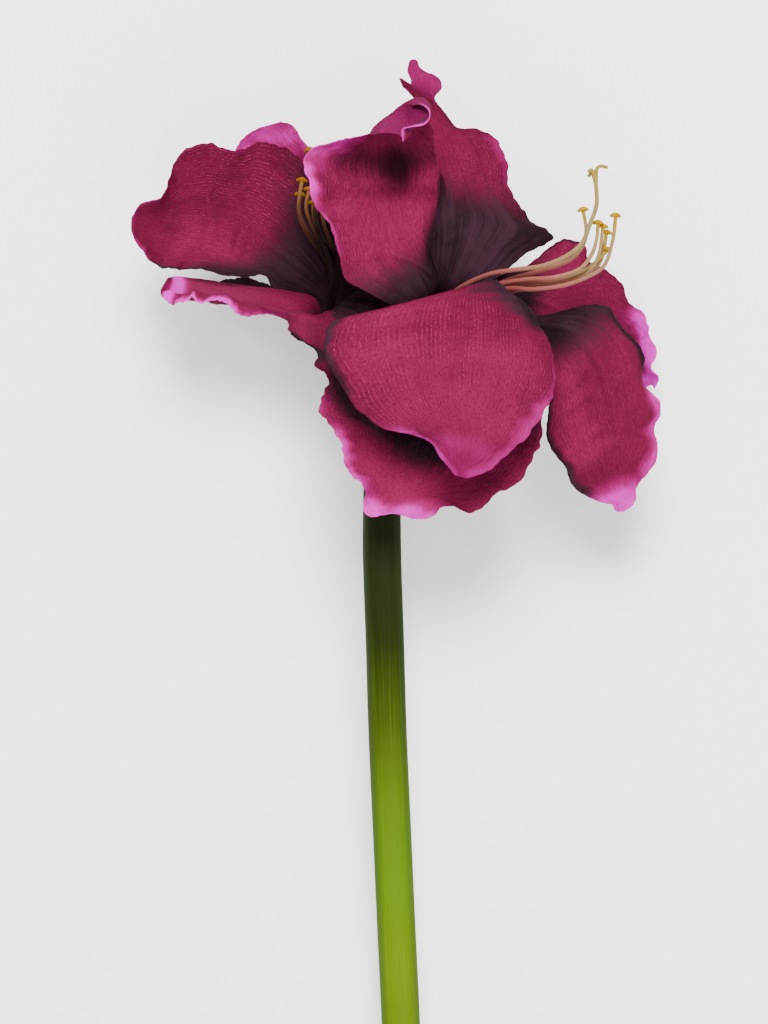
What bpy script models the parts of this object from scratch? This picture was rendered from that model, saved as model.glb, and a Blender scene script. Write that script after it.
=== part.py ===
# Cut amaryllis lying on its back: a scape with two open blooms of six petals each
# Shapes are laid out in the flower frame, millimetres: x to the right, y along the
# scape towards the blooms, z up out of the surface; the origin is the top of the scape
import bpy
import bmesh
import math
from mathutils import Vector, Matrix

MM = 0.001

SCAPE_RADIUS = 8.4
SCAPE_LINE = [(-1.6, -0.2, 0), (-1.3, -25, 0), (-0.8, -55, 0), (0.4, -90, 0), (1.6, -130, 0),
              (3.6, -175, 0), (5.4, -215, 0), (7.3, -255, 0), (9.3, -305, 0), (11, -353, 0)]
SCAPE_SIDES = 24

PEDICEL_BASE_RADIUS = 3.7
OVARY_RADIUS = 6.2
NECK_RADIUS = 5.0
DISC_RADIUS = 9.4
PEDICEL_SIDES = 16

SEAT_GAP = 0.42
PETAL_THICKNESS = 0.85
PETAL_ROWS = 23
PETAL_COLUMNS = 8
CLAW_RING_RADIUS = 8.0
CLAW_HALF_WIDTH = 3.3
CLAW_HEIGHT = 12.0

BRACT_RADIUS = SCAPE_RADIUS + SEAT_GAP + 0.4
BRACT_LENGTH = 34.0
BRACT_BELOW_TOP = 7.0

FILAMENT_RADIUS = 0.95
FILAMENT_SIDES = 6
FILAMENT_ROOT_CIRCLE = 3.5
BOSS_RADIUS = 5.2
STYLE_RADIUS = 0.85
ANTHER_LENGTH = 5.2
ANTHER_WIDTH = 3.0


def clearScene():
    for obj in list(bpy.data.objects):
        bpy.data.objects.remove(obj, do_unlink=True)


def material(name, colour, roughness):
    mat = bpy.data.materials.get(name)
    if mat is None:
        mat = bpy.data.materials.new(name)
        mat.use_nodes = True
        shader = mat.node_tree.nodes["Principled BSDF"]
        shader.inputs["Base Color"].default_value = (*colour, 1)
        shader.inputs["Roughness"].default_value = roughness
    return mat


def addObject(name, mesh, mat):
    obj = bpy.data.objects.new(name, mesh)
    obj.data.name = name
    mesh.materials.clear()
    mesh.materials.append(mat)
    for face in mesh.polygons:
        face.use_smooth = True
    bpy.context.scene.collection.objects.link(obj)
    return obj


def curvePoints(points, steps=12):
    """Points of a smooth line through the given ones."""
    p = [Vector(q) for q in points]
    p = [2 * p[0] - p[1]] + p + [2 * p[-1] - p[-2]]
    out = []
    for i in range(1, len(p) - 2):
        a, b, c, d = p[i - 1:i + 3]
        for k in range(steps):
            f = k / steps
            out.append(0.5 * (2 * b + (c - a) * f + (2 * a - 5 * b + 4 * c - d) * f ** 2
                              + (3 * b - a - 3 * c + d) * f ** 3))
    out.append(p[-2])
    return out


def alongLine(points, count):
    """Evenly spaced points, root to tip, of a smooth line."""
    fine = curvePoints(points)
    reach = [0.0]
    for a, b in zip(fine, fine[1:]):
        reach.append(reach[-1] + (b - a).length)
    out = []
    j = 0
    for k in range(count):
        want = reach[-1] * k / (count - 1)
        while j < len(fine) - 2 and reach[j + 1] < want:
            j += 1
        share = (want - reach[j]) / max(reach[j + 1] - reach[j], 1e-9)
        out.append(fine[j].lerp(fine[j + 1], min(max(share, 0), 1)))
    return out


def tube(name, points, radii, sides):
    """Solid round stalk along a smooth line, as a mesh in metres."""
    curve = bpy.data.curves.new(name, 'CURVE')
    curve.dimensions = '3D'
    curve.bevel_depth = MM
    curve.bevel_resolution = sides // 2 - 2
    curve.use_fill_caps = True
    spline = curve.splines.new('POLY')
    spline.points.add(len(points) - 1)
    for point, where, radius in zip(spline.points, points, radii):
        point.co = (*(Vector(where) * MM), 1)
        point.radius = radius
    holder = bpy.data.objects.new(name, curve)
    bpy.context.scene.collection.objects.link(holder)
    bpy.context.view_layer.update()
    mesh = bpy.data.meshes.new_from_object(holder.evaluated_get(bpy.context.evaluated_depsgraph_get()))
    bpy.data.objects.remove(holder, do_unlink=True)
    bpy.data.curves.remove(curve)
    shape = bmesh.new()
    shape.from_mesh(mesh)
    bmesh.ops.remove_doubles(shape, verts=shape.verts, dist=0.00001)
    bmesh.ops.recalc_face_normals(shape, faces=shape.faces)
    shape.to_mesh(mesh)
    shape.free()
    return mesh


class Bloom:
    """Where a bloom opens from, and which way it faces."""

    def __init__(self, centre, axis):
        self.centre = Vector(centre)
        self.axis = Vector(axis).normalized()
        self.up = (Vector((0, 1, 0)) - self.axis.y * self.axis).normalized()
        self.side = self.up.cross(self.axis)

    def around(self, degrees, radius, height):
        turn = math.radians(degrees)
        outward = math.cos(turn) * self.side + math.sin(turn) * self.up
        return self.centre + self.axis * height + outward * radius


right = Bloom((22, 47, 3), (0.60, 0.42, 0.68))
left = Bloom((-16, 44, -6), (-0.815, 0.566, -0.12))


def petalGrid(bloom, petal, rows, columns):
    """Rows of points of a petal's middle surface, claw to tip, first margin to second."""
    lines = []
    for side, key in ((1, "first"), (0, "rib"), (-1, "second")):
        claw = []
        for height, half, radius in ((SEAT_GAP, CLAW_HALF_WIDTH, CLAW_RING_RADIUS),
                                     (CLAW_HEIGHT / 2, CLAW_HALF_WIDTH + 0.5, CLAW_RING_RADIUS + 0.6)):
            degrees = petal["angle"] + side * math.degrees(half / radius)
            claw.append(bloom.around(degrees, radius, height))
        lines.append(alongLine(claw + [Vector(p) for p in petal[key]], rows + 1))
    height, count, phase = petal["waves"]
    grid = []
    for i in range(rows + 1):
        a, m, c = (line[i] for line in lines)
        row = []
        for j in range(columns + 1):
            v = 2 * j / columns - 1
            row.append(m + (c - a) / 2 * v + (c + a - 2 * m) / 2 * v * v)
        grid.append(row)
    waved = []
    for i in range(rows + 1):
        u = i / rows
        row = []
        for j in range(columns + 1):
            v = 2 * j / columns - 1
            along = grid[min(i + 1, rows)][j] - grid[max(i - 1, 0)][j]
            across = grid[i][min(j + 1, columns)] - grid[i][max(j - 1, 0)]
            normal = along.cross(across).normalized()
            grow = min(max((u - 0.22) / 0.2, 0), 1) * min(max((1.02 - u) / 0.1, 0), 1) * abs(v) ** 4
            wave = math.sin(2 * math.pi * (count * u + phase) + (1.7 if v > 0 else 0))
            row.append(grid[i][j] + normal * height * grow * wave)
        waved.append(row)
    return waved


def blade(name, grid, mat, thickness=PETAL_THICKNESS):
    """A thin blade over a grid of points, split into triangles and given its thickness."""
    rows, columns = len(grid) - 1, len(grid[0]) - 1
    shape = bmesh.new()
    bmesh.ops.create_grid(shape, x_segments=rows, y_segments=columns, size=1)
    shape.verts.ensure_lookup_table()
    for vert in shape.verts:
        i = round((vert.co.x + 1) / 2 * rows)
        j = round((vert.co.y + 1) / 2 * columns)
        vert.co = grid[i][j] * MM
    bmesh.ops.triangulate(shape, faces=shape.faces, quad_method='SHORT_EDGE')
    mesh = bpy.data.meshes.new(name)
    shape.to_mesh(mesh)
    shape.free()
    obj = addObject(name, mesh, mat)
    solid = obj.modifiers.new("Thickness", 'SOLIDIFY')
    solid.thickness = thickness * MM
    solid.offset = 0
    solid.use_even_offset = False
    return obj


# Each petal: the angle of its claw round the bloom, and three lines from there to the
# tip, the two margins and the rib; waves are height, how many, and where they start
RIGHT_PETALS = {
    "petal_right_upper_left": {
        "angle": 150,
        "first": [(8, 51, 24), (-9, 59.5, 34), (-17, 65, 38), (-20, 79, 42), (-26.5, 91, 45),
                  (-31, 101, 47), (-34, 112, 49), (-30, 119, 48), (-17, 124, 46), (-7, 124, 47),
                  (-3, 127, 50), (1, 132, 54), (5, 130, 59), (6, 125, 61)],
        "rib": [(18, 60, 18), (6, 80, 22), (1, 98, 24), (0, 113, 27), (3, 125, 36), (8, 134.5, 48),
                (11, 138, 55), (11, 129, 61)],
        "second": [(24, 63, 17), (21, 76, 22), (23.2, 93, 25), (23.2, 108, 28), (20.8, 121, 34),
                   (19.8, 131, 42), (18.8, 138, 50), (18, 137, 57), (16.5, 130, 60)],
        "waves": (0.9, 8, 0.3)},
    "petal_right_top": {
        "angle": 90,
        "first": [(14, 66, 4), (6, 85, -1), (3, 105, -5), (5, 122, -7), (12, 134, -8), (15, 142, -9),
                  (10, 147, -8), (7, 152, -6), (10.5, 156, -11), (11.5, 159, -14)],
        "rib": [(26, 66, 9), (29, 85, 8), (28, 105, 3), (23, 125, -4), (19, 142, -10), (16, 152, -12),
                (13, 160, -15)],
        "second": [(45, 66, 10), (56, 71.5, 4), (62, 76.5, -2), (73, 82.5, -6), (63, 91, -8),
                   (55, 101, -8), (53.5, 111, -8), (50, 124, -8), (41, 129, -8), (30, 131, -9),
                   (24.5, 140, -11), (24.5, 149, -12), (16, 155, -14), (14.5, 159, -16)],
        "waves": (0.7, 9, 1.0)},
    "petal_right_front": {
        "angle": 210,
        "first": [(42, 62.5, 23), (54, 57.5, 36), (65.5, 46.5, 44), (71.3, 31.5, 48), (72.5, 19.5, 50),
                  (69, 8.5, 53), (61.2, -2, 56), (49.5, -14, 59), (41.5, -18.5, 60), (35.5, -21, 61)],
        "rib": [(29, 58, 22), (33, 60, 36), (34, 53, 48), (34, 38, 57), (33, 20, 62), (33, 2, 64.5),
                (33, -12, 64), (32.5, -20.5, 62)],
        "second": [(12, 51, 26), (-4, 47.5, 36), (-21, 46, 43), (-25.5, 36, 45), (-23, 26, 46),
                   (-12, 9.5, 50), (-2, 1, 53), (10, -2, 55), (20, -6, 58), (24, -12, 60),
                   (30, -19.5, 61)],
        "waves": (1.1, 7, 0.0)},
    "petal_right_low": {
        "angle": 270,
        "first": [(56, 32, 21), (66, 18, 27), (67.5, 4, 31), (65, -10, 34), (56, -23, 37), (47, -29, 38),
                  (36, -35, 38), (26, -33.5, 37), (18, -37.5, 37), (12, -38.3, 37)],
        "rib": [(34, 36, 17), (32, 24, 17), (26, 8, 18), (19, -10, 22), (12, -26, 28), (9, -37, 34)],
        "second": [(6, 36, 18), (-12, 27, 21), (-24.5, 20, 26), (-28, 8, 32), (-20, -3, 33),
                   (-18, -12, 34), (-9.5, -24, 36), (-7.5, -34, 37), (-3, -37, 37), (5, -36, 36)],
        "waves": (1.4, 7, 0.6)},
    "petal_right_back": {
        "angle": 30,
        "first": [(46, 65, 4), (62, 71, -3), (74, 79.5, -10), (84, 80.5, -16), (93, 71, -22),
                  (104, 61, -28), (110, 52, -32), (114, 41, -35), (117.5, 30, -38), (118, 23, -42)],
        "rib": [(48, 57, 2), (65, 56, -14), (82, 50, -30), (98, 40, -42), (110, 28, -48), (116, 20, -50)],
        "second": [(44, 48, -4), (58, 42, -24), (74, 33, -44), (90, 25, -58), (103, 20, -65),
                   (112, 17, -60)],
        "waves": (1.4, 7, 0.2)},
    "petal_right_side": {
        "angle": 330,
        "first": [(56, 50, 15), (70, 49, 17), (84, 53, 16), (95, 52, 12), (104, 43, 9), (111, 32, 7),
                  (115, 17, 6), (119, 8, 4), (117.5, -8, 3), (112, -21, 2), (106, -33, 0)],
        "rib": [(56, 44, 14), (72, 44, 17), (86, 38, 18), (95, 22, 17), (99, 4, 13), (101.5, -16, 7),
                (103, -34, -1)],
        "second": [(50, 36, 9), (64, 29, 9), (71, 14, 9), (69.5, 2, 8), (75, -12, 7), (84, -25, 5),
                   (95, -31.5, 2), (100, -34.5, 0)],
        "waves": (1.2, 7, 0.9)},
}
LEFT_PETALS = {
    "petal_left_near_low": {
        "angle": 330,
        "first": [(-10, 60.5, 12.5), (4, 60, 14), (10, 48, 14), (5, 30, 14), (-6, 14, 15), (-16, 5, 17)],
        "rib": [(-25, 50, 9), (-19, 46, 16), (-14, 34, 18), (-13, 20, 17), (-17, 5, 18)],
        "second": [(-36, 47, 6), (-40, 43.5, 8), (-38, 39, 9.5), (-31.5, 37, 11), (-28.5, 31, 13),
                   (-29.5, 27.5, 14.5), (-25, 24, 16), (-20, 8, 19)],
        "waves": (0.7, 7, 0.3)},
    "petal_left_near_up": {
        "angle": 30,
        "first": [(-8, 64, 3), (2, 78, 6), (6, 92, 5), (7, 105, 2), (3, 114, 0)],
        "rib": [(-13, 64, 6.5), (-5, 82, 13), (-3, 97, 9), (1, 114, 0)],
        "second": [(-18, 62, 4), (-20.5, 72, 9), (-20, 84, 11), (-14, 98, 7), (-6, 112, 1), (-1, 114, 0)],
        "waves": (0.6, 6, 0.6)},
    "petal_left_top": {
        "angle": 90,
        "first": [(-19.5, 62, -8), (-24, 78, -20), (-38, 93, -29), (-60, 110, -36), (-64, 120, -38),
                  (-59, 127, -38), (-53, 130.5, -38)],
        "rib": [(-13, 70, -10), (-22, 90, -20), (-36, 110, -32), (-46, 124, -38), (-49, 131.5, -39)],
        "second": [(-8, 70, -8), (-8, 90, -16), (-18, 108, -24), (-33, 121.5, -32), (-39, 130.5, -37),
                   (-45, 132.5, -38)],
        "waves": (0.6, 7, 0.1)},
    "petal_left_far": {
        "angle": 150,
        "first": [(-38, 57, -18), (-48, 61, -22), (-52, 67, -23), (-66, 66.5, -23), (-80, 69.5, -21),
                  (-97, 70.5, -17), (-105, 78, -14), (-109, 86, -12)],
        "rib": [(-30, 65, -15), (-50, 80, -22), (-70, 91, -22), (-92, 92, -17), (-109, 90, -12)],
        "second": [(-23, 64, -10), (-23, 80, -8), (-27, 94, -8), (-33, 109, -12), (-39, 120, -14),
                   (-50, 124, -15), (-64, 121, -14), (-76, 123.5, -12), (-87, 120, -11), (-93, 108, -11),
                   (-97, 99.5, -11), (-105, 97.5, -11), (-108.5, 92, -12)],
        "waves": (0.9, 8, 0.5)},
    "petal_left_behind": {
        "angle": 210,
        "first": [(-29, 49, -27), (-42, 51, -38), (-56, 55, -44), (-68, 58, -52), (-74, 60, -62)],
        "rib": [(-30, 54, -28), (-44, 58, -45), (-58, 61, -58), (-70, 62, -67), (-76, 61.5, -71)],
        "second": [(-30, 58, -30), (-42, 61, -50), (-54, 64.5, -66), (-66, 65.5, -75), (-73, 63, -75)],
        "waves": (0.6, 7, 0.8)},
    "petal_left_low": {
        "angle": 270,
        "first": [(-31, 42, -1), (-39, 44, 3), (-46, 49, 8), (-60, 50.5, 12), (-75, 54, 11),
                  (-88, 54.5, 5), (-95, 56.5, -2), (-96, 60, -6)],
        "rib": [(-33, 46, -8), (-46, 52, -10), (-62, 54.5, -12), (-78, 57, -13), (-90, 60, -12),
                (-95.5, 62, -10)],
        "second": [(-33, 50, -16), (-46, 59.5, -26), (-60, 62.5, -32), (-75, 65, -33), (-88, 66.5, -26),
                   (-93, 66, -16)],
        "waves": (1.3, 7, 0.1)},
}


def pedicel(name, bloom, root, way, mat):
    """Stalk, swelling to the ovary and opening to the disc that carries the claws."""
    a = bloom.axis
    c = bloom.centre
    line = curvePoints([root] + way + [c - a * 14, c - a * 5], 4)
    count = len(line) - 1
    radii = []
    for k in range(count + 1):
        share = k / count
        swell = math.exp(-((share - 0.72) / 0.17) ** 2)
        base = PEDICEL_BASE_RADIUS + (NECK_RADIUS - PEDICEL_BASE_RADIUS) * share
        radii.append(base + (OVARY_RADIUS - base) * swell)
    for back, radius in ((3.2, NECK_RADIUS + 0.5), (1.8, DISC_RADIUS - 1.9), (0.9, DISC_RADIUS - 0.3),
                         (0.0, DISC_RADIUS)):
        line.append(c - a * back)
        radii.append(radius)
    return addObject(name, tube(name, line, radii, PEDICEL_SIDES), mat)


def fuse(name, meshes, mat):
    """One Boolean union of the first mesh with all the others."""
    base = addObject(name, meshes[0], mat)
    group = bpy.data.collections.new(name + "_parts")
    bpy.context.scene.collection.children.link(group)
    for k, mesh in enumerate(meshes[1:]):
        group.objects.link(bpy.data.objects.new("%s_part%d" % (name, k), mesh))
    union = base.modifiers.new("Union", 'BOOLEAN')
    union.operand_type = 'COLLECTION'
    union.collection = group
    union.operation = 'UNION'
    union.solver = 'MANIFOLD'
    bpy.context.view_layer.update()
    mesh = bpy.data.meshes.new_from_object(base.evaluated_get(bpy.context.evaluated_depsgraph_get()))
    base.modifiers.clear()
    base.data = mesh
    mesh.name = name
    mesh.materials.clear()
    mesh.materials.append(mat)
    for obj in list(group.objects):
        bpy.data.objects.remove(obj, do_unlink=True)
    bpy.data.collections.remove(group)
    return base


def anther(tip, direction, size):
    """A small cap lying across the tip of its filament."""
    shape = bmesh.new()
    bmesh.ops.create_uvsphere(shape, u_segments=7, v_segments=5, radius=0.5)
    turn = Vector((0, 0, 1)).rotation_difference(Vector(direction)).to_matrix().to_4x4()
    place = Matrix.Translation(Vector(tip) * MM) @ turn @ Matrix.Diagonal((*(Vector(size) * MM), 1))
    bmesh.ops.transform(shape, matrix=place, verts=shape.verts)
    mesh = bpy.data.meshes.new("anther")
    shape.to_mesh(mesh)
    shape.free()
    return mesh


def stamens(name, bloom, filaments, mat):
    """Six filaments with their anthers on one low boss."""
    boss = [bloom.centre + bloom.axis * (SEAT_GAP + d) for d in (0, 1.0, 1.6)]
    meshes = [tube(name, boss, (BOSS_RADIUS, BOSS_RADIUS, BOSS_RADIUS - 0.5), 16)]
    for k, line in enumerate(filaments):
        degrees = line["root"]
        start = [bloom.around(degrees, FILAMENT_ROOT_CIRCLE, SEAT_GAP + 0.8),
                 bloom.around(degrees, FILAMENT_ROOT_CIRCLE, 7)]
        points = alongLine(start + line["points"], 14)
        radii = [FILAMENT_RADIUS * (1.05 - 0.3 * i / 13) for i in range(14)]
        meshes.append(tube(name, points, radii, FILAMENT_SIDES))
        way = points[-1] - points[-2]
        meshes.append(anther(points[-1], way, (ANTHER_LENGTH, ANTHER_WIDTH, 2.2)))
    return fuse(name, meshes, mat)


def style(name, bloom, points, lobes, mat):
    """The style with its three spreading lobes."""
    start = [bloom.around(0, 0, SEAT_GAP + 1.6 + 0.75), bloom.around(0, 0, 4.5)]
    line = alongLine(start + points, 20)
    meshes = [tube(name, line, [STYLE_RADIUS * (1.15 - 0.2 * i / 19) for i in range(20)], FILAMENT_SIDES)]
    for lobe in lobes:
        path = alongLine([line[-2]] + lobe, 6)
        meshes.append(tube(name, path, [STYLE_RADIUS * (0.95 - 0.06 * i) for i in range(6)], FILAMENT_SIDES))
    return fuse(name, meshes, mat)


RIGHT_FILAMENTS = [
    {"root": 5, "points": [(36, 56.5, 14), (53, 63.8, 23), (63, 66.6, 29), (72, 69, 34), (80.5, 73, 38),
                           (85, 79, 41), (86, 85, 43), (84.5, 93.5, 45)]},
    {"root": 215, "points": [(34, 55, 15), (52, 60.2, 24), (63, 59.8, 29), (76, 61.2, 34), (87, 65, 38),
                             (94, 70, 41), (97.4, 80.8, 44), (98.5, 91, 46)]},
    {"root": 320, "points": [(38, 54, 12), (54, 59, 19), (66, 61, 24), (78, 62.9, 29), (88.6, 67.8, 33),
                             (92.9, 73, 36), (94.8, 84, 39)]},
    {"root": 255, "points": [(35, 53, 12), (52, 61, 20), (64, 62.5, 26), (77, 63, 31), (86.5, 66.5, 35),
                             (91.5, 74, 38), (93.2, 86.5, 41)]},
    {"root": 45, "points": [(35, 57, 13), (48, 61.5, 19), (61, 63, 25), (73, 63.8, 30), (83, 66.5, 34),
                            (90, 71, 36.5), (95.5, 76.5, 38)]},
    {"root": 175, "points": [(33, 56.5, 15), (47, 61.5, 22), (60, 64, 29), (73, 64.8, 35.5),
                             (83, 68, 39.5), (88.2, 74, 42), (90.5, 81, 43), (91, 88, 43.5)]},
]
RIGHT_STYLE = [(26, 54.8, 9.5), (33, 61, 15), (44, 66, 22), (55, 68, 30), (67, 69.4, 37), (77, 73.2, 43),
               (84, 78.8, 47), (87.5, 87, 49.5), (90.2, 95, 51), (90, 103, 52), (89.4, 108.5, 52.3)]
RIGHT_LOBES = [[(87.6, 111, 54)], [(91.5, 112.2, 53), (95.5, 112, 53)], [(89, 112.5, 50.5)]]
LEFT_FILAMENTS = [
    {"root": 100, "points": [(-21, 57, -5), (-19.5, 66, -3), (-20.5, 76, -1), (-24, 88, 1), (-28, 101, 4),
                             (-32, 120.5, 6)]},
    {"root": 145, "points": [(-22, 57, -6), (-21, 66, -4), (-24, 74.5, -1.5), (-29.5, 80.5, 0),
                             (-34.3, 88, 1.5), (-36.7, 96, 2.5), (-35.2, 107.5, 3.5)]},
    {"root": 75, "points": [(-21, 57, -4), (-19.5, 66, -2), (-23, 75, 0), (-28, 82, 2), (-31.5, 89, 3.5),
                            (-33.5, 96, 4.5), (-32, 103.5, 5.5)]},
    {"root": 280, "points": [(-21, 56, -3.5), (-19, 66, -1.5), (-21, 76, 1), (-24.5, 84, 3),
                             (-26.5, 92, 4), (-26, 100, 5)]},
    {"root": 190, "points": [(-23, 57, -7), (-22, 66, -4.5), (-25.5, 74, -2.5), (-30.5, 80.5, -1),
                             (-35, 88, 0.5), (-36.8, 95, 1), (-36, 101.5, 1.5)]},
    {"root": 240, "points": [(-22, 56.5, -5), (-20.5, 66, -3.5), (-22.5, 76, -1.5), (-27, 83, 0.5),
                             (-30, 90, 2), (-30.5, 98, 3.5)]},
]
LEFT_STYLE = [(-22.5, 49, -3), (-23, 57, -0.5), (-22.5, 66, 1.8), (-24.5, 75, 3.6), (-27.5, 83, 5.6),
              (-29.5, 92, 8), (-29, 105, 10), (-27, 116, 12)]
LEFT_LOBES = [[(-29.5, 118, 13)], [(-24.5, 118.5, 12)], [(-27, 119, 9.5)]]


def bract(name, toward, mat):
    """A papery blade clasping the top of the scape and running up beside the stalks."""
    rows, columns = 10, 6
    grid = []
    for i in range(rows + 1):
        u = i / rows
        y = -BRACT_BELOW_TOP + BRACT_LENGTH * u
        half = 62 * (1 - u ** 2.2) + 3
        radius = BRACT_RADIUS + 1.2 * math.sin(math.pi * u) + 2.0 * u ** 2
        row = []
        for j in range(columns + 1):
            turn = math.radians(toward - half + 2 * half * j / columns)
            row.append(Vector((-2 + radius * math.cos(turn), y, radius * math.sin(turn))))
        grid.append(row)
    return blade(name, grid, mat, 0.7)


def settle(parts, feet):
    """Tilt and lift the flower until its three feet stand on the surface."""
    depsgraph = bpy.context.evaluated_depsgraph_get()
    points = {obj.name: [v.co.copy() for v in obj.evaluated_get(depsgraph).data.vertices] for obj in parts}
    turn = Matrix.Identity(3)
    for step in range(12):
        lows = [min((turn @ p for p in points[name]), key=lambda q: q.z) for name in feet]
        normal = (lows[1] - lows[0]).cross(lows[2] - lows[0]).normalized()
        if normal.z < 0:
            normal = -normal
        turn = normal.rotation_difference(Vector((0, 0, 1))).to_matrix() @ turn
    world = [turn @ p for cloud in points.values() for p in cloud]
    low = Vector([min(p[k] for p in world) for k in range(3)])
    high = Vector([max(p[k] for p in world) for k in range(3)])
    shift = Vector((-(low.x + high.x) / 2, -(low.y + high.y) / 2, -low.z))
    for obj in parts:
        obj.rotation_euler = turn.to_euler()
        obj.location = shift
    for name in feet:
        foot = min((turn @ p + shift for p in points[name]), key=lambda q: q.z)
        print("foot", name, [round(x * 1000, 2) for x in foot])
    print("turn", [round(x, 6) for x in turn.to_euler()], "shift", [round(x, 6) for x in shift])
    print("size", [round(x * 1000, 1) for x in high - low])


clearScene()
green = material("scape_green", (0.155, 0.235, 0.03), 0.55)
stalkGreen = material("stalk_green", (0.12, 0.2, 0.04), 0.6)
papery = material("bract_papery", (0.33, 0.3, 0.16), 0.7)
burgundy = material("petal_burgundy", (0.3, 0.022, 0.075), 0.62)
salmon = material("stamen_salmon", (0.5, 0.2, 0.16), 0.5)
cream = material("style_cream", (0.6, 0.42, 0.26), 0.5)
parts = []

scapeLine = [Vector(p) for p in SCAPE_LINE]
scapeRadii = [SCAPE_RADIUS - 0.5] + [SCAPE_RADIUS] * (len(scapeLine) - 1)
scape = addObject("scape", tube("scape", scapeLine, scapeRadii, SCAPE_SIDES), green)
parts.append(scape)

leftWay = [(-6, 14, -1.5), (-3.6, 27, -3)]
rightWay = [(3.4, 14, -1), (7.4, 27, -5)]
parts.append(pedicel("pedicel_left", left, (-6.3, 2 * SEAT_GAP, 0), leftWay, stalkGreen))
parts.append(pedicel("pedicel_right", right, (2.3, 2 * SEAT_GAP, 0), rightWay, stalkGreen))
parts.append(bract("bract_front", 90, papery))
parts.append(bract("bract_back", 270, papery))

for bloom, petals in ((right, RIGHT_PETALS), (left, LEFT_PETALS)):
    for name, petal in petals.items():
        parts.append(blade(name, petalGrid(bloom, petal, PETAL_ROWS, PETAL_COLUMNS), burgundy))

parts.append(stamens("stamens_right", right, RIGHT_FILAMENTS, salmon))
parts.append(stamens("stamens_left", left, LEFT_FILAMENTS, salmon))
parts.append(style("style_right", right, RIGHT_STYLE, RIGHT_LOBES, cream))
parts.append(style("style_left", left, LEFT_STYLE, LEFT_LOBES, cream))

bpy.context.view_layer.update()
settle(parts, ("scape", "petal_left_behind", "petal_right_back"))
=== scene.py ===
# Cut amaryllis with two burgundy blooms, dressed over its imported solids
import bpy
import bmesh
import math
import numpy as np
from mathutils import Euler, Matrix, Vector


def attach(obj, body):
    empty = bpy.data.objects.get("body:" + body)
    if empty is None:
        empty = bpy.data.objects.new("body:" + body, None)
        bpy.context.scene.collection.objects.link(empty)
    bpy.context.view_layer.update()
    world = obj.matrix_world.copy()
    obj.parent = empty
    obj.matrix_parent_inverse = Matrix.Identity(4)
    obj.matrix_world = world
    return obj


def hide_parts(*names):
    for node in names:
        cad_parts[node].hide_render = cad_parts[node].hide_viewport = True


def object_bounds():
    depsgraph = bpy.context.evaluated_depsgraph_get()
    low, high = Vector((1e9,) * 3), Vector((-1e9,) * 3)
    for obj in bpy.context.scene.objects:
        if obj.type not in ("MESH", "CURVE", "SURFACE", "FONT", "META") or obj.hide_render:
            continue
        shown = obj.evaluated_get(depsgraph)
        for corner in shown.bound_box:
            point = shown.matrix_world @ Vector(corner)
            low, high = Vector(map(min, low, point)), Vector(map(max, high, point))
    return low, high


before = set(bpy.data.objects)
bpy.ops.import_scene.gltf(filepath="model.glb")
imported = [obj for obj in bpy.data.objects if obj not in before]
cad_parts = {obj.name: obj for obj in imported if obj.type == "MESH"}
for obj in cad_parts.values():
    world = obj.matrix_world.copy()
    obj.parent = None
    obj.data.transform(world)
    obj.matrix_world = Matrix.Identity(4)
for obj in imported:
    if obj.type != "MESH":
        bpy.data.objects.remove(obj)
cadBox = [[float(x) for x in corner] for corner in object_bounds()]
print("frame loaded")

mm = 0.001
# how the flower lies: flower millimetres are turned and moved to the frame's metres
lying = {"turn": (0.155564, 0.022179, -0.016344), "shift": (-0.005687, 0.094925, 0.06322), "boxGap": 0.00002}
turnMatrix = np.array(Euler(lying["turn"]).to_matrix())


def toWorld(points):
    return np.asarray(points, float) * mm @ turnMatrix.T + np.array(lying["shift"])


def insideBox(points):
    # a ripple never stands out of the solids' box
    low, high = np.array(cadBox)
    return np.clip(points, low + lying["boxGap"], high - lying["boxGap"])


class Sock:
    # a node's output that can be used in Python sums
    def __init__(self, recipe, socket):
        self.recipe, self.socket = recipe, socket

    def maths(self, operation, *others):
        return self.recipe.maths(operation, self, *others)

    def __add__(self, other):
        return self.maths("ADD", other)

    def __sub__(self, other):
        return self.maths("SUBTRACT", other)

    def __rsub__(self, other):
        return self.recipe.maths("SUBTRACT", other, self)

    def __mul__(self, other):
        return self.maths("MULTIPLY", other)

    __radd__, __rmul__ = __add__, __mul__

    def step(self, low, high):
        # smooth 0 to 1 between two values
        return self.recipe.node("MapRange", {"interpolation_type": "SMOOTHSTEP"},
                                {"Value": self, "From Min": low, "From Max": high})


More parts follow.
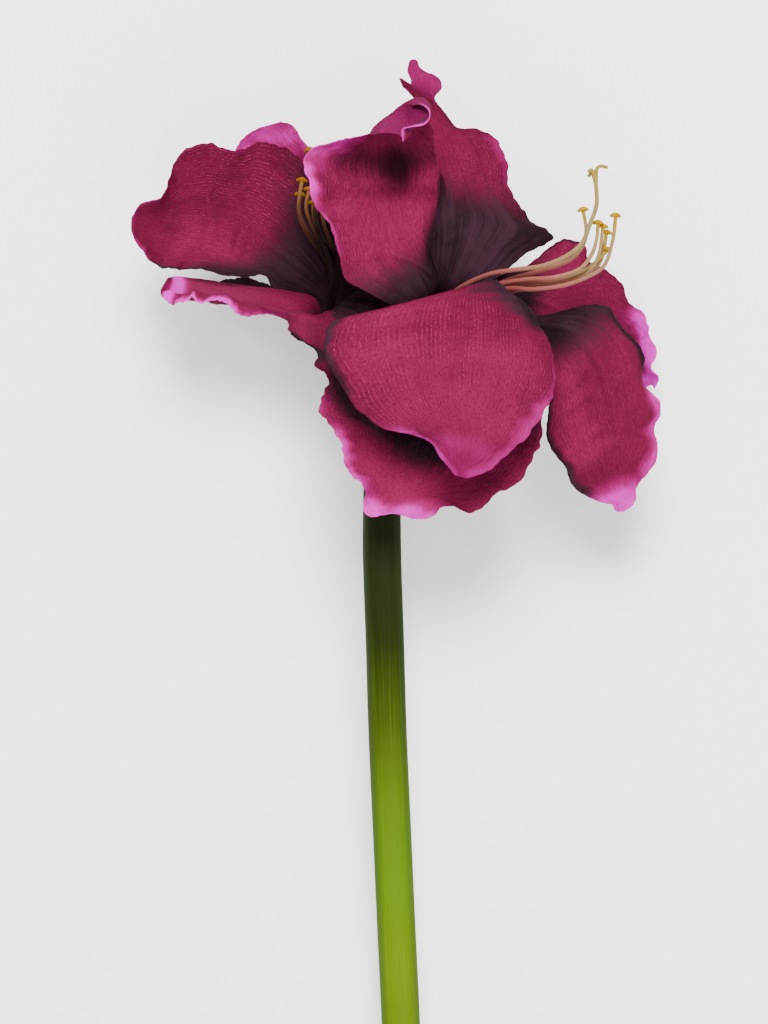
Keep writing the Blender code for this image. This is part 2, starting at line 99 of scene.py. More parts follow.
class Recipe:
    # one material and its nodes
    def __init__(self, name, **constants):
        self.material = bpy.data.materials.new(name)
        self.material.use_nodes = True
        self.tree = self.material.node_tree
        self.shader = self.tree.nodes["Principled BSDF"]
        for key, value in constants.items():
            self.shader.inputs[key.replace("_", " ")].default_value = value

    def node(self, kind, settings=None, inputs=None, output=0):
        # any node: its settings first, a colour ramp's stops among them, then its inputs
        node = self.tree.nodes.new("ShaderNode" + kind)
        for key, value in (settings or {}).items():
            if key == "stops":
                ramp = node.color_ramp
                while len(ramp.elements) < len(value):
                    ramp.elements.new(0.5)
                for element, (place, colour) in zip(ramp.elements, value):
                    element.position = place
                    element.color = (*colour, 1)
            else:
                setattr(node, key, value)
        for key, value in (inputs or {}).items():
            self.feed(node.inputs[key], value)
        return Sock(self, node.outputs[output])

    def feed(self, socket, value):
        if isinstance(value, Sock):
            self.tree.links.new(value.socket, socket)
        elif isinstance(value, (tuple, list)) and socket.type == "RGBA":
            socket.default_value = (*value[:3], 1)
        else:
            socket.default_value = value

    def maths(self, operation, *values):
        return self.node("Math", {"operation": operation}, dict(enumerate(values)))

    def attribute(self, name):
        return self.node("Attribute", {"attribute_name": name}, output="Fac")

    def place(self):
        return self.node("TexCoord", output="Object")

    def noise(self, vector, scale, detail=2, rough=0.5):
        return self.node("TexNoise", {"noise_dimensions": "3D"},
                         {"Vector": vector, "Scale": scale, "Detail": detail, "Roughness": rough})

    def drawn(self, across, along, counts, layer, detail=2, rough=0.5):
        # noise drawn out over a blade or round a stalk: counts are how often it changes across and along
        place = {0: across * counts[0], 1: along * counts[1], 2: layer}
        return self.noise(self.node("CombineXYZ", None, place), 1.0, detail, rough)

    def mix(self, share, first, second, blend="MIX"):
        # 6, 7 and output 2 are the mix node's colour sockets
        return self.node("Mix", {"data_type": "RGBA", "blend_type": blend},
                         {0: share, 6: first, 7: second}, 2)

    def finish(self, colour, roughness=None, height=None, relief=0.0003, strength=1.0):
        self.feed(self.shader.inputs["Base Color"], colour)
        if roughness is not None:
            self.feed(self.shader.inputs["Roughness"], roughness)
        if height is not None:
            values = {"Height": height, "Distance": relief, "Strength": strength}
            self.feed(self.shader.inputs["Normal"], self.node("Bump", None, values))
        return self.material


petalLook = {
    "body": (0.088, 0.0045, 0.0208), "deep": (0.046, 0.0027, 0.0112), "base": (0.0088, 0.0036, 0.0056),
    "baseLit": (0.023, 0.0085, 0.015), "rim": (0.262, 0.0095, 0.108), "pale": (0.6, 0.014, 0.44),
    "dim": (0.01, 0.0011, 0.0026), "vein": (0.034, 0.0022, 0.009), "ridge": (0.19, 0.016, 0.055),
    "back": (0.062, 0.0032, 0.019), "paintedLightColour": (0.2, 0.011, 0.058),
    # how often each mark comes across and along the blade, and how strongly it colours it
    "streaks": (15, 1.4), "fine": (60, 5), "cells": (46, 88), "sway": (4, 7), "dots": (0.55, 150.0),
    "ridges": 165.0, "cloud": 42.0, "patch": 130.0, "marginShade": 0.55, "fineVein": 0.36, "cellVein": 0.34,
    "ridgeHighlight": 0.7, "backTone": 0.55, "rimTone": 0.95, "paleTone": 0.72, "gloss": (0.55, 0.2),
    "relief": 0.0005, "reliefStrength": 0.65,
}


def petalMaterial():
    r = Recipe("amaryllisPetal", IOR=1.06)
    look = petalLook
    across, along = r.attribute("across"), r.attribute("along")
    rim, dark, dim, kind = [r.attribute(key) for key in ("rim", "dark", "dim", "kind")]
    streaks = r.drawn(across, along, look["streaks"], kind * 9.7, 3, 0.6)
    fine = r.drawn(across, along, look["fine"], kind * 5.1)
    cells = r.drawn(across, along, look["cells"], kind * 3.3)
    cloud = r.noise(r.place(), look["cloud"], 3, 0.6)
    patch = r.noise(r.place(), look["patch"], 3, 0.6)
    # fine ridges fan out from the claw and break up into dots, raised by the bump and coloured paler as a
    # painted highlight
    sway = r.drawn(across, along, look["sway"], kind)
    ridge = (across * look["ridges"] + 9 * sway).maths("SINE").step(0.1, 0.95)
    dots = r.drawn(across * look["ridges"], along, look["dots"], kind * 2.3, 1)
    broken = ridge * dots.step(0.42, 0.62)
    colour = r.mix((0.65 * cloud + 0.35 * streaks).step(0.36, 0.78), look["body"], look["deep"])
    # painted light: blades and bands that stand in the light are coloured brighter
    colour = r.mix(r.attribute("tone"), colour, look["paintedLightColour"])
    # painted shade: the blade darkens towards its margins, where it turns away from the light
    margin = (across * across + (cloud - 0.5) * 0.5).step(0.3, 1.05)
    colour = r.mix(margin * look["marginShade"], colour, look["deep"])
    colour = r.mix(fine.step(0.48, 0.75) * look["fineVein"], colour, look["vein"])
    colour = r.mix(cells.step(0.5, 0.62) * look["cellVein"], colour, look["vein"])
    # painted highlight on the raised ridges
    colour = r.mix(broken * patch.step(0.28, 0.62) * look["ridgeHighlight"], colour, look["ridge"])
    colour = r.mix(r.attribute("back") * look["backTone"], colour, look["back"])
    # ovals of painted shade, broken up by the streaks and clouds
    colour = r.mix((dim + dim * (streaks + cloud - 1) * 0.8).step(0.0, 1.0), colour, look["dim"])
    # the near-black base climbs in uneven streaks, partly the blade's own dark base and partly painted shade,
    # and bands of painted shade join it
    darkMask = (dark + (streaks - 0.5) * 0.34 + (fine - 0.5) * 0.2 + (cloud - 0.5) * 0.3).step(0.18, 0.84)
    shadeMask = (r.attribute("shade") + (cloud - 0.5) * 0.35 + (fine - 0.5) * 0.1).step(0.15, 0.9)
    baseColour = r.mix((0.4 * streaks + 0.6 * cloud).step(0.4, 0.62), look["base"], look["baseLit"])
    colour = r.mix(darkMask.maths("MAXIMUM", shadeMask), colour, baseColour)
    # pink margins, palest where they are strongest
    rimMask = (rim + (cloud - 0.5) * 0.4 + (patch - 0.5) * 0.3 + (streaks - 0.5) * 0.35).step(0.1, 1.05)
    colour = r.mix(rimMask * look["rimTone"], colour, look["rim"])
    paleMask = (rim + (patch - 0.5) * 0.7 + (fine - 0.5) * 0.5).step(0.6, 1.3)
    colour = r.mix(paleMask * look["paleTone"], colour, look["pale"])
    height = 0.35 * fine + 0.45 * broken + 0.5 * streaks + 0.35 * dots - 0.5 * cells
    rough, more = look["gloss"]
    return r.finish(colour, rough + more * streaks, height, look["relief"], look["reliefStrength"])


scapeLook = {
    # colours from the top of the stalk to its cut end
    "way": [(0.16, (0.008, 0.0106, 0.0034)), (0.256, (0.0084, 0.0142, 0.0018)),
            (0.353, (0.024, 0.0405, 0.0026)), (0.45, (0.05, 0.092, 0.003)), (0.55, (0.058, 0.118, 0.0022)),
            (0.66, (0.068, 0.118, 0.0022)), (1.0, (0.05, 0.088, 0.0022))],
    "pale": (0.12, 0.19, 0.012), "dark": (0.013, 0.024, 0.0012), "cut": (0.35, 0.48, 0.1),
    "inner": (0.06, 0.11, 0.006), "streaks": (14, 5), "fine": (60, 22), "cloud": 16.0, "pores": 900.0,
    "rings": 260.0,
}


def scapeMaterial():
    r = Recipe("scapeSkin", IOR=1.08)
    look = scapeLook
    down, about = r.attribute("down"), r.attribute("round")
    streaks = r.drawn(about, down, look["streaks"], 0.0, 3, 0.6)
    fine = r.drawn(about, down, look["fine"], 1.0)
    cloud = r.noise(r.place(), look["cloud"])
    base = r.node("ValToRGB", {"stops": look["way"]}, {0: down + (streaks - 0.5) * 0.045})
    colour = r.mix(streaks.step(0.5, 0.8) * 0.4, base, look["pale"])
    colour = r.mix(fine.step(0.5, 0.8) * 0.3, colour, look["dark"])
    colour = r.mix((1 - down.step(0.18, 0.5)) * 0.8, colour, base)
    colour = r.mix(cloud.step(0.5, 0.8) * 0.2, colour, look["dark"])
    # painted shade: both flanks are darker green, as if the stalk rounds away from the light
    colour = r.mix(about.maths("ABSOLUTE").step(0.45, 1.0) * 0.45, colour, look["dark"])
    return r.finish(colour, 0.42 + 0.2 * streaks, 0.7 * streaks + 0.4 * fine, 0.0003, 0.4)


def cutMaterial():
    r = Recipe("scapeCutFace", Roughness=0.5)
    pores, rings = r.noise(r.place(), scapeLook["pores"]), r.noise(r.place(), scapeLook["rings"])
    colour = r.mix(pores.step(0.4, 0.65), scapeLook["cut"], scapeLook["inner"])
    return r.finish(colour, None, pores + 0.5 * rings, 0.0004, 0.6)


stalkLook = {"dark": (0.0184, 0.0268, 0.0065), "light": (0.0453, 0.0637, 0.0123), "end": (0.045, 0.008, 0.016),
             "streaks": (12, 4)}


def stalkMaterial():
    r = Recipe("stalkSkin", IOR=1.2)
    along = r.attribute("down")
    streaks = r.drawn(r.attribute("round"), along, stalkLook["streaks"], 2.0, 3, 0.6)
    colour = r.mix(streaks.step(0.35, 0.7), stalkLook["dark"], stalkLook["light"])
    # it turns to burgundy where the petals spring
    colour = r.mix((along + (streaks - 0.5) * 0.2).step(0.72, 1.0) * 0.85, colour, stalkLook["end"])
    return r.finish(colour, 0.45 + 0.2 * streaks, streaks, 0.0003, 0.4)


bractLook = {"pale": (0.116, 0.09, 0.033), "dark": (0.0436, 0.0357, 0.0145), "tip": (0.12, 0.06, 0.035),
             "fibres": (22, 3)}


def bractMaterial():
    r = Recipe("bractPaper", Roughness=0.75, Specular_IOR_Level=0.2)
    along = r.attribute("along")
    fibres = r.drawn(r.attribute("across"), along, bractLook["fibres"], 4.0, 3, 0.6)
    colour = r.mix(fibres.step(0.35, 0.7), bractLook["pale"], bractLook["dark"])
    colour = r.mix(along.step(0.55, 1.0) * 0.7, colour, bractLook["tip"])
    return r.finish(colour, None, fibres, 0.0004, 0.6)


def filamentMaterial(name, stops):
    r = Recipe(name, IOR=1.12)
    soft = r.noise(r.place(), 160.0)
    base = r.node("ValToRGB", {"stops": stops}, {0: r.attribute("down") + (soft - 0.5) * 0.12})
    colour = r.mix(soft.step(0.4, 0.8) * 0.35, base, (0.3, 0.16, 0.07), "SOFT_LIGHT")
    return r.finish(colour, 0.42 + 0.15 * soft, soft, 0.0002, 0.3)


def antherMaterial(name, light, dark):
    r = Recipe(name, Roughness=0.8, IOR=1.1)
    grain = r.noise(r.place(), 1400.0, 2, 0.6)
    return r.finish(r.mix(grain.step(0.35, 0.7), light, dark), None, grain, 0.0003, 0.8)


# colours of the threads from their roots to their ends, and of the anthers' light and dark grains; the darker
# copies for the left bloom are painted shade, for threads that lie deep in its half-closed throat
threadLook = {
    "filament": [(0.0, (0.045, 0.008, 0.012)), (0.35, (0.13, 0.025, 0.028)), (0.62, (0.2, 0.062, 0.05)),
                 (0.84, (0.2, 0.128, 0.062)), (0.94, (0.215, 0.14, 0.034)), (1.0, (0.23, 0.142, 0.004))],
    "filamentInShade": [(0.0, (0.004, 0.0015, 0.0015)), (0.6, (0.009, 0.003, 0.0025)),
                        (0.8, (0.055, 0.019, 0.009)), (1.0, (0.15, 0.07, 0.02))],
    "style": [(0.0, (0.08, 0.018, 0.022)), (0.4, (0.18, 0.054, 0.044)), (0.66, (0.19, 0.13, 0.06)),
              (0.9, (0.18, 0.136, 0.046)), (1.0, (0.21, 0.142, 0.012))],
    "styleInShade": [(0.0, (0.004, 0.0015, 0.0015)), (0.6, (0.009, 0.003, 0.0025)),
                     (0.85, (0.055, 0.022, 0.01)), (1.0, (0.15, 0.08, 0.02))],
}
antherLook = {"anther": [(0.33, 0.19, 0.0), (0.15, 0.072, 0.0)],
              "antherInShade": [(0.19, 0.082, 0.001), (0.1, 0.034, 0.001)]}
materials = {"petal": petalMaterial(), "scape": scapeMaterial(), "cut": cutMaterial(), "stalk": stalkMaterial(),
             "bract": bractMaterial()}
for name, grains in antherLook.items():
    materials[name] = antherMaterial(name, *grains)
for name, stops in threadLook.items():
    materials[name] = filamentMaterial(name, stops)
print("materials made")

evenPace = ((0, 0), (1, 1))


def smoothLine(points, steps=16):
    # a curve through all the points, with this many steps between two of them
    p = np.array(points, float)
    p = np.vstack([2 * p[0] - p[1], p, 2 * p[-1] - p[-2]])
    f = (np.arange(steps) / steps)[:, None]
    parts = []
    for i in range(1, len(p) - 2):
        a, b, c, d = p[i - 1:i + 3]
        parts.append(0.5 * (2 * b + (c - a) * f + (2 * a - 5 * b + 4 * c - d) * f ** 2
                            + (3 * b - a - 3 * c + d) * f ** 3))
    return np.vstack(parts + [p[-2:-1]])


def alongLine(points, count, pace=evenPace):
    # points of the smooth line: pace pairs a share of the points with the share of the way they cover
    fine = smoothLine(points)
    reach = np.concatenate([[0], np.cumsum(np.linalg.norm(np.diff(fine, axis=0), axis=1))])
    want = reach[-1] * np.interp(np.linspace(0, 1, count), *np.array(pace, float).T)
    return np.stack([np.interp(want, reach, fine[:, k]) for k in range(3)], 1)


def ramp(x, low, high):
    # smooth 0 to 1, as a socket's step
    t = np.clip((x - low) / (high - low), 0, 1)
    return t * t * (3 - 2 * t)


def bell(x, width):
    return np.exp(-(x / width) ** 2)


def wobble(x, seed, terms=5):
    # smooth seeded waviness with no repeat, about -1 to 1
    rng = np.random.RandomState(seed)
    out = 0
    for k in range(terms):
        out = out + np.sin(x * rng.uniform(0.6, 1.7) * (k + 1) + rng.uniform(0, 6.28)) / (k + 1) ** 0.5
    return out / 2.2


def placed(name, data):
    thing = bpy.data.objects.new(name, data)
    bpy.context.scene.collection.objects.link(thing)
    return thing


def addPiece(name, mesh, node, slot, *finishes):
    # a swept mesh comes without finishes and keeps what its tree set
    mesh.name = name
    if finishes:
        mesh.materials.clear()
    for finish in finishes:
        mesh.materials.append(finish)
    piece = placed(name, mesh)
    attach(piece, "root")
    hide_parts(node)
    return piece


def meshOf(name, points, faces, edges=(), **attributes):
    mesh = bpy.data.meshes.new(name)
    mesh.from_pydata([tuple(p) for p in points], edges, [tuple(f) for f in faces])
    for key, values in attributes.items():
        mesh.attributes.new(key, "FLOAT", "POINT").data.foreach_set("value", np.asarray(values, float).ravel())
    mesh.update()
    mesh.shade_smooth()
    return mesh


def normalsOf(grid):
    normal = np.cross(np.gradient(grid, axis=0), np.gradient(grid, axis=1))
    return normal / (np.linalg.norm(normal, axis=2, keepdims=True) + 1e-9)


def bladeMesh(name, grid, thickness, **fields):
    # two faces of a thin blade over a grid of points, closed round its rim; the first one is its back
    size = grid.shape[:2]
    off = size[0] * size[1]
    lift = normalsOf(grid) * np.broadcast_to(thickness, size)[..., None] / 2
    points = np.vstack([(grid + lift).reshape(-1, 3), (grid - lift).reshape(-1, 3)])
    index = np.arange(off).reshape(size)
    a, b, c, d = [part.ravel() for part in (index[:-1, :-1], index[1:, :-1], index[1:, 1:], index[:-1, 1:])]
    rim = np.concatenate([index[0, :], index[1:, -1], index[-1, -2::-1], index[-2:0:-1, 0]])
    nextRim = np.roll(rim, -1)
    faces = np.vstack([np.stack([a, b, c, d], 1), np.stack([a, d, c, b], 1) + off,
                       np.stack([rim, nextRim, nextRim + off, rim + off], 1)])
    both = {key: np.tile(np.broadcast_to(values, size).ravel(), 2) for key, values in fields.items()}
    return meshOf(name, insideBox(toWorld(points)), faces, back=np.repeat([1.0, 0.0], off), **both)


class Bloom:
    # a flower's centre and the way it faces
    def __init__(self, centre, axis):
        self.centre = np.array(centre, float)
        self.axis = np.array(axis, float) / np.linalg.norm(axis)
        up = np.array([0, 1, 0]) - self.axis[1] * self.axis
        self.up = up / np.linalg.norm(up)
        self.side = np.cross(self.up, self.axis)

    def around(self, degrees, radius, height):
        turn = math.radians(degrees)
        spoke = math.cos(turn) * self.side + math.sin(turn) * self.up
        return self.centre + self.axis * height + spoke * radius


blooms = {"right": Bloom((22, 47, 3), (0.6, 0.42, 0.68)), "left": Bloom((-16, 44, -6), (-0.815, 0.566, -0.12))}

# a petal's lines are its two margins and its rib, in flower millimetres; pace crowds their points
# waves: height of the margins' waves, their count and start; calm lowers them on the second margin
# creases: lines pressed in, from and to (along, across), depth and width; groove: how deep the rib lies
# hood: how sharply the tip turns up; curl: how high the second margin stands up, in mm
# painted light: how much brighter the whole blade is coloured; tip: length and strength of the pink at its end
# bands of painted light, of pink and of painted shade: by side (-1 first margin, 1 second, 0 both), start, end,
# width and strength
# ovals of painted shade by middle and reach (along, across) and strength
# dark: how far the base colour climbs at first margin, rib and second margin, and how softly it ends; partly
# the blade's own dark base, partly painted shade where it climbs far, as on blades deep in a throat
plainPetal = {"tone": 0.0, "tip": (1, 0), "paintedLightBands": [], "pink": [], "shade": [], "shadeOvals": [], "creases": [],
              "pace": {}, "groove": 1.0, "calm": 1.0, "hood": 0, "curl": 0}
petals = {
    "petal_right_upper_left": {
        "angle": 150, "tone": 0.33, "paintedLightBands": [(-1, 0.08, 0.5, 24, 0.58)],
        "first": [(8, 51, 24), (-9, 59.5, 34), (-17, 65, 38), (-20, 79, 42), (-26.5, 91, 45), (-31, 101, 47),
            (-34, 112, 49), (-30, 119, 48), (-17, 124, 46), (-7, 124.5, 47.5), (-2.6, 125.5, 49),
            (3, 125.5, 52), (6.5, 124.5, 55), (8, 121.6, 58)],
        "rib": [(18, 60, 18), (6, 80, 22), (1, 98, 24), (0, 113, 27), (-1, 122, 31), (-0.3, 130, 35),
            (4, 135, 38.5), (11, 138.3, 41), (14.5, 135, 46), (13, 129, 51), (8, 121.6, 58)],
        "second": [(24, 63, 17), (21, 76, 22), (23.2, 93, 25), (23.2, 108, 28), (21.5, 121, 33),
            (20.5, 128, 37), (17, 134, 40), (12.5, 137, 45), (15.5, 137.6, 51), (18.8, 135.2, 55),
            (19.2, 131.5, 57.5), (16.5, 128.6, 59.5), (11, 127.8, 60.5), (7.5, 126.6, 60), (8, 121.6, 58)],
        "pace": {"first": ((0, 0), (0.3, 0.36), (0.6, 0.68), (0.68, 0.8), (0.72, 0.872), (0.76, 0.895), (1, 1)),
            "rib": ((0, 0), (0.3, 0.26), (0.6, 0.54), (0.72, 0.627), (0.77, 0.7), (0.82, 0.776), (1, 1)),
            "second": ((0, 0), (0.3, 0.222), (0.6, 0.515), (0.72, 0.61), (0.82, 0.77), (1, 1))},
        "hood": 2.0, "creases": [((0.55, -0.95), (0.54, 0.9), 3.2, 6), ((0.4, -0.9), (0.2, 0.45), 1.4, 2.6)],
        "waves": (0.9, 8, 0.3), "dark": (0.23, 0.26, 0.48, 0.34),
        "pink": [(-1, 0.47, 0.61, 5, 0.98), (-1, 0.34, 0.48, 2.5, 0.7), (-1, 0.58, 0.72, 12, 0.8),
            (0, 0.75, 1, 99, 0.36), (1, 0.81, 1, 0.8, 0.92)],
        "shade": [(1, 0.2, 0.5, 2.2, 1.1), (0, 0.57, 0.71, 99, 0.36), (1, 0.85, 0.98, 4, 0.95)],
        "shadeOvals": [((0.62, -0.3), (0.14, 0.9), 0.8), ((0.61, 0.2), (0.18, 0.95), 0.92),
            ((0.88, 0), (0.16, 2), 0.62)]},
    "petal_right_top": {
        "angle": 90, "tone": 0.02,
        "first": [(14, 66, 4), (6, 85, -1), (3, 105, -5), (5, 122, -7), (12, 134, -8), (15, 142, -7),
            (10.5, 146, -4), (6.5, 151.4, -2), (10.5, 147.5, -7), (11.8, 150.5, -10), (10, 155, -12),
            (11, 159.3, -14)],
        "rib": [(26, 66, 9), (29, 85, 8), (28, 105, 3), (23, 125, -4), (19, 142, -10), (16, 152, -12),
            (13, 160, -15)],
        "second": [(46, 63.8, 10), (56, 71.5, 4), (62, 76.5, -2), (73, 82.5, -6), (63, 91, -8), (55, 101, -8),
            (53.5, 111, -8), (50, 124, -8), (41, 129, -8), (31.5, 130.5, -9), (26, 137.5, -10),
            (21.6, 143, -11), (25, 148, -12), (23, 152, -13), (16, 155, -14), (14.5, 159, -16)],
        "waves": (0.7, 9, 1), "creases": [((0.74, 0.25), (0.5, 0.86), 0.8, 2.2)],
        "dark": (0.5, 0.48, 0.5, 0.42),
        "pink": [(1, 0.54, 0.69, 4.5, 0.5), (0, 0.84, 1, 99, 0.55), (1, 0.82, 1, 1.5, 0.6),
            (-1, 0.76, 0.9, 1, 0.7)],
        "shade": [(1, 0.8, 0.88, 4, 0.75)], "tip": (3, 0.5),
        "shadeOvals": [((0.46, -0.11), (0.1, 0.07), 1.7), ((0.86, -0.2), (0.1, 1.6), 0.5)]},
    "petal_right_front": {
        "angle": 210, "paintedLightBands": [(0, 0.56, 0.9, 99, 0.28), (1, 0.3, 0.85, 50, 0.36)],
        "first": [(42, 62.5, 23), (54, 57.5, 36), (65.5, 46.5, 44), (71.3, 31.5, 48), (72.5, 19.5, 50),
            (69, 8.5, 53), (61.2, -2, 56), (49.5, -14, 59), (41.5, -18.5, 60), (35.5, -21, 61)],
        "rib": [(29, 55.5, 22), (36, 60.8, 36), (34.5, 53.5, 48), (34, 38, 57), (33, 20, 62), (33, 2, 64.5),
            (33, -12, 64), (32.5, -20.5, 62)],
        "second": [(12, 51, 26), (-4, 47.5, 36), (-21, 46, 43), (-25.5, 36, 45), (-23, 26, 46), (-12, 9.5, 50),
            (-2, 1, 53), (10, -2, 55), (20, -6, 58), (24, -12, 60), (30, -19.5, 61)],
        "waves": (1.1, 7, 0.0), "groove": 0.25, "calm": 0.35,
        "creases": [((0.2, -0.35), (0.3, -0.55), 0.7, 0.9), ((0.3, -0.55), (0.46, -0.93), 0.7, 0.9)],
        "dark": (0.5, 0.28, 0.1, 0.22),
        "pink": [(1, 0.75, 1, 6, 0.78), (-1, 0.66, 1, 8, 0.7), (-1, 0.56, 0.7, 1.5, 0.6),
            (0, 0.85, 1, 99, 0.42)],
        "shade": [(-1, 0.1, 0.5, 44, 0.95), (1, 0.22, 0.62, 4.5, 0.8)], "tip": (12, 0.5)},
    "petal_right_low": {
        "angle": 270, "tone": 0.5, "paintedLightBands": [(-1, 0.45, 1, 15, 0.95)],
        "first": [(56, 32, 21), (66, 18, 27), (67.5, 4, 31), (65, -10, 34), (56, -23, 37), (47, -29, 38),
            (36, -35, 38), (26, -33.5, 37), (18, -37.5, 37), (12, -38.3, 37)],
        "rib": [(34, 36, 17), (32, 24, 17), (26, 8, 18), (19, -10, 22), (12, -26, 28), (9, -37, 34)],
        "second": [(6, 36, 18), (-12, 27, 21), (-23.5, 21, 26), (-25.8, 13, 30), (-28.4, 7.4, 32),
            (-22.5, 2, 32.5), (-18.7, -4.3, 33), (-18.2, -10.7, 34), (-14.8, -17.2, 35), (-9.6, -23.6, 36),
            (-8.6, -30, 36.5), (-7.8, -35.3, 37), (-3, -37, 37), (5, -36, 36)],
        "waves": (1.4, 7, 0.6), "dark": (0.45, 0.75, 0.45, 0.26),
        "pink": [(1, 0.5, 0.6, 5, 0.6), (1, 0.6, 0.86, 7.5, 0.86), (1, 0.84, 1, 9, 1.12),
            (-1, 0.92, 1, 8, 1.12)],
        "tip": (9, 1.1)},
    "petal_right_back": {
        "angle": 30, "tone": 0.5,
        "first": [(46, 65, 4), (62, 71, -3), (71, 79, -9), (79, 82, -13), (86.5, 80.3, -17), (88.7, 72.8, -19),
            (96, 69, -23), (103.5, 63, -27), (106.2, 54.5, -29), (111.8, 51.5, -31), (114.8, 46, -33),
            (115, 40.5, -35), (118.2, 34, -37), (116.8, 27.8, -39), (119.6, 23.2, -42), (117.3, 18.5, -45)],
        "rib": [(48, 57, 2), (65, 56, -14), (82, 50, -30), (98, 40, -42), (110, 28, -48), (116, 20, -50)],
        "second": [(44, 48, -4), (58, 42, -24), (74, 33, -44), (90, 25, -58), (103, 20, -65), (112, 17, -60)],
        "waves": (1.4, 7, 0.2), "dark": (0.3, 0.42, 0.45, 0.3),
        "pink": [(-1, 0.74, 1, 15, 1.4), (1, 0.7, 1, 5, 1.2)], "shade": [(-1, 0.3, 0.48, 2, 0.7)],
        "tip": (8, 1.4)},
    "petal_right_side": {
        "angle": 330, "tone": 0.1, "paintedLightBands": [(1, 0.42, 0.78, 28, 0.52)],
        "first": [(56, 50, 15), (70, 49, 17), (84, 53, 16), (95, 52, 12), (104, 43, 9), (110.5, 32, 7),
            (112.8, 18.5, 6), (118.8, 9.5, 5), (116.6, 1, 3.5), (117.6, -4.5, 3), (116.5, -11.5, 2.5),
            (113, -19.5, 1.5), (108.8, -25.5, 1), (108.2, -29.6, 0.7), (106, -33, 0.4), (102.6, -35, 0),
            (100.2, -35, 0)],
        "rib": [(56, 44, 14), (72, 44, 17), (86, 38, 18), (95, 22, 17), (99, 4, 13), (101.5, -15, 7),
            (104, -28, 3), (99.8, -34.8, 0)],
        "second": [(50, 36, 9), (64, 29, 9), (71, 14, 9), (69.5, 2, 8), (70.6, -5, 7.5), (74.4, -11.7, 7),
            (78.2, -17, 6.4), (79.6, -21.4, 6), (83, -26.2, 4.6), (91.5, -30.4, 2.6), (97.6, -31.8, 1),
            (98.6, -33.2, 0.4), (99.4, -34.6, 0)],
        "waves": (1.2, 7, 0.9), "groove": 1.5, "calm": 0.45,
        "creases": [((0.42, 0.12), (0.6, 0.02), 0.5, 0.8)], "dark": (0.46, 0.45, 0.34, 0.3),
        "pink": [(-1, 0.62, 0.97, 9, 0.85), (0, 0.895, 1, 99, 1.15)],
        "shade": [(-1, 0.3, 0.62, 9, 0.85), (1, 0.42, 0.95, 4, 0.8)], "tip": (8, 1.15)},
    "petal_left_near_low": {
        "angle": 330, "paintedLightBands": [(1, 0.22, 0.52, 14, 0.55)],
        "first": [(-10, 60.5, 12.5), (4, 60, 14), (10, 48, 14), (5, 30, 14), (-6, 14, 15), (-16, 5, 17)],
        "rib": [(-25, 50, 9), (-19, 46, 16), (-14, 34, 18), (-13, 20, 17), (-17, 5, 18)],
        "second": [(-33, 50, 6), (-41, 50.8, 7.5), (-41.5, 46, 8), (-38.5, 39.5, 9.5), (-34, 37.2, 10.5),
            (-30, 35.5, 12), (-28.8, 31, 13), (-30, 27.5, 14.5), (-25, 24, 16), (-20, 8, 19)],
        "waves": (0.7, 7, 0.3), "dark": (0.5, 0.15, 0.12, 0.3),
        "shade": [(1, 0.46, 0.68, 8, 1.5), (-1, -0.2, 0.75, 32, 1.6), (0, 0.25, 0.85, 99, 0.36)]},
    "petal_left_near_up": {
        "angle": 30,
        "first": [(-5, 57, 3), (-2, 66, 4), (2, 78, 6), (6, 92, 5), (7, 105, 2), (3, 114, 0)],
        "rib": [(-13, 64, 6.5), (-5, 82, 13), (-3, 97, 9), (1, 114, 0)],
        "second": [(-20.5, 56.5, 0), (-19.5, 64, 3.5), (-20.5, 72, 9), (-20, 84, 11), (-14, 98, 7),
            (-6, 112, 1), (-1, 114, 0)],
        "waves": (0.6, 6, 0.6), "dark": (0.9, 0.9, 0.9, 0.3), "pink": [(0, 0.9, 1, 2, 0.4)]},
    "petal_left_top": {
        "angle": 90,
        "first": [(-19.5, 62, -8), (-24, 78, -20), (-38, 93, -29), (-61, 110, -36), (-65.5, 120, -38),
            (-60, 128, -38), (-54, 131.5, -38)],
        "rib": [(-13, 70, -10), (-22, 90, -20), (-36, 110, -32), (-46, 124, -38), (-49, 133, -39)],
        "second": [(-8, 70, -8), (-8, 90, -16), (-18, 108, -24), (-33, 122.5, -32), (-39, 132, -37),
            (-45, 134, -38)],
        "waves": (0.6, 7, 0.1), "dark": (0.3, 0.3, 0.3, 0.3), "pink": [(0, 0.2, 1, 14, 0.76)],
        "tip": (24, 0.76)},
    "petal_left_far": {
        "angle": 150, "paintedLightBands": [(-1, 0.42, 0.8, 34, 0.4)],
        "first": [(-38, 57, -18), (-48, 61, -22), (-52, 67, -23), (-66, 66.5, -23), (-80, 69.5, -21),
            (-97, 70.5, -17), (-105, 78, -14), (-109, 86, -12)],
        "rib": [(-30, 65, -15), (-50, 80, -22), (-70, 91, -22), (-92, 92, -17), (-109, 90, -12)],
        "second": [(-23, 64, -10), (-23, 80, -8), (-27, 94, -8), (-33, 109, -12), (-39, 120, -14),
            (-50, 124, -15), (-64, 121, -14), (-76, 123.5, -12), (-87, 120, -11), (-93, 108, -11),
            (-97, 99.5, -11), (-105, 97.5, -11), (-108.5, 92, -12)],
        "waves": (0.9, 8, 0.5), "dark": (0.72, 0.43, 0.44, 0.44),
        "pink": [(0, 0.86, 1, 2.5, 0.5), (1, 0.55, 0.88, 2, 0.3)], "shade": [(-1, 0.45, 0.86, 2.2, 0.85)],
        "tip": (3, 0.4)},
    "petal_left_behind": {
        "angle": 210,
        "first": [(-29, 49, -27), (-42, 51, -38), (-56, 55, -44), (-68, 58, -52), (-74, 60, -62)],
        "rib": [(-30, 54, -28), (-44, 58, -45), (-58, 61, -58), (-70, 62, -67), (-76, 61.5, -71)],
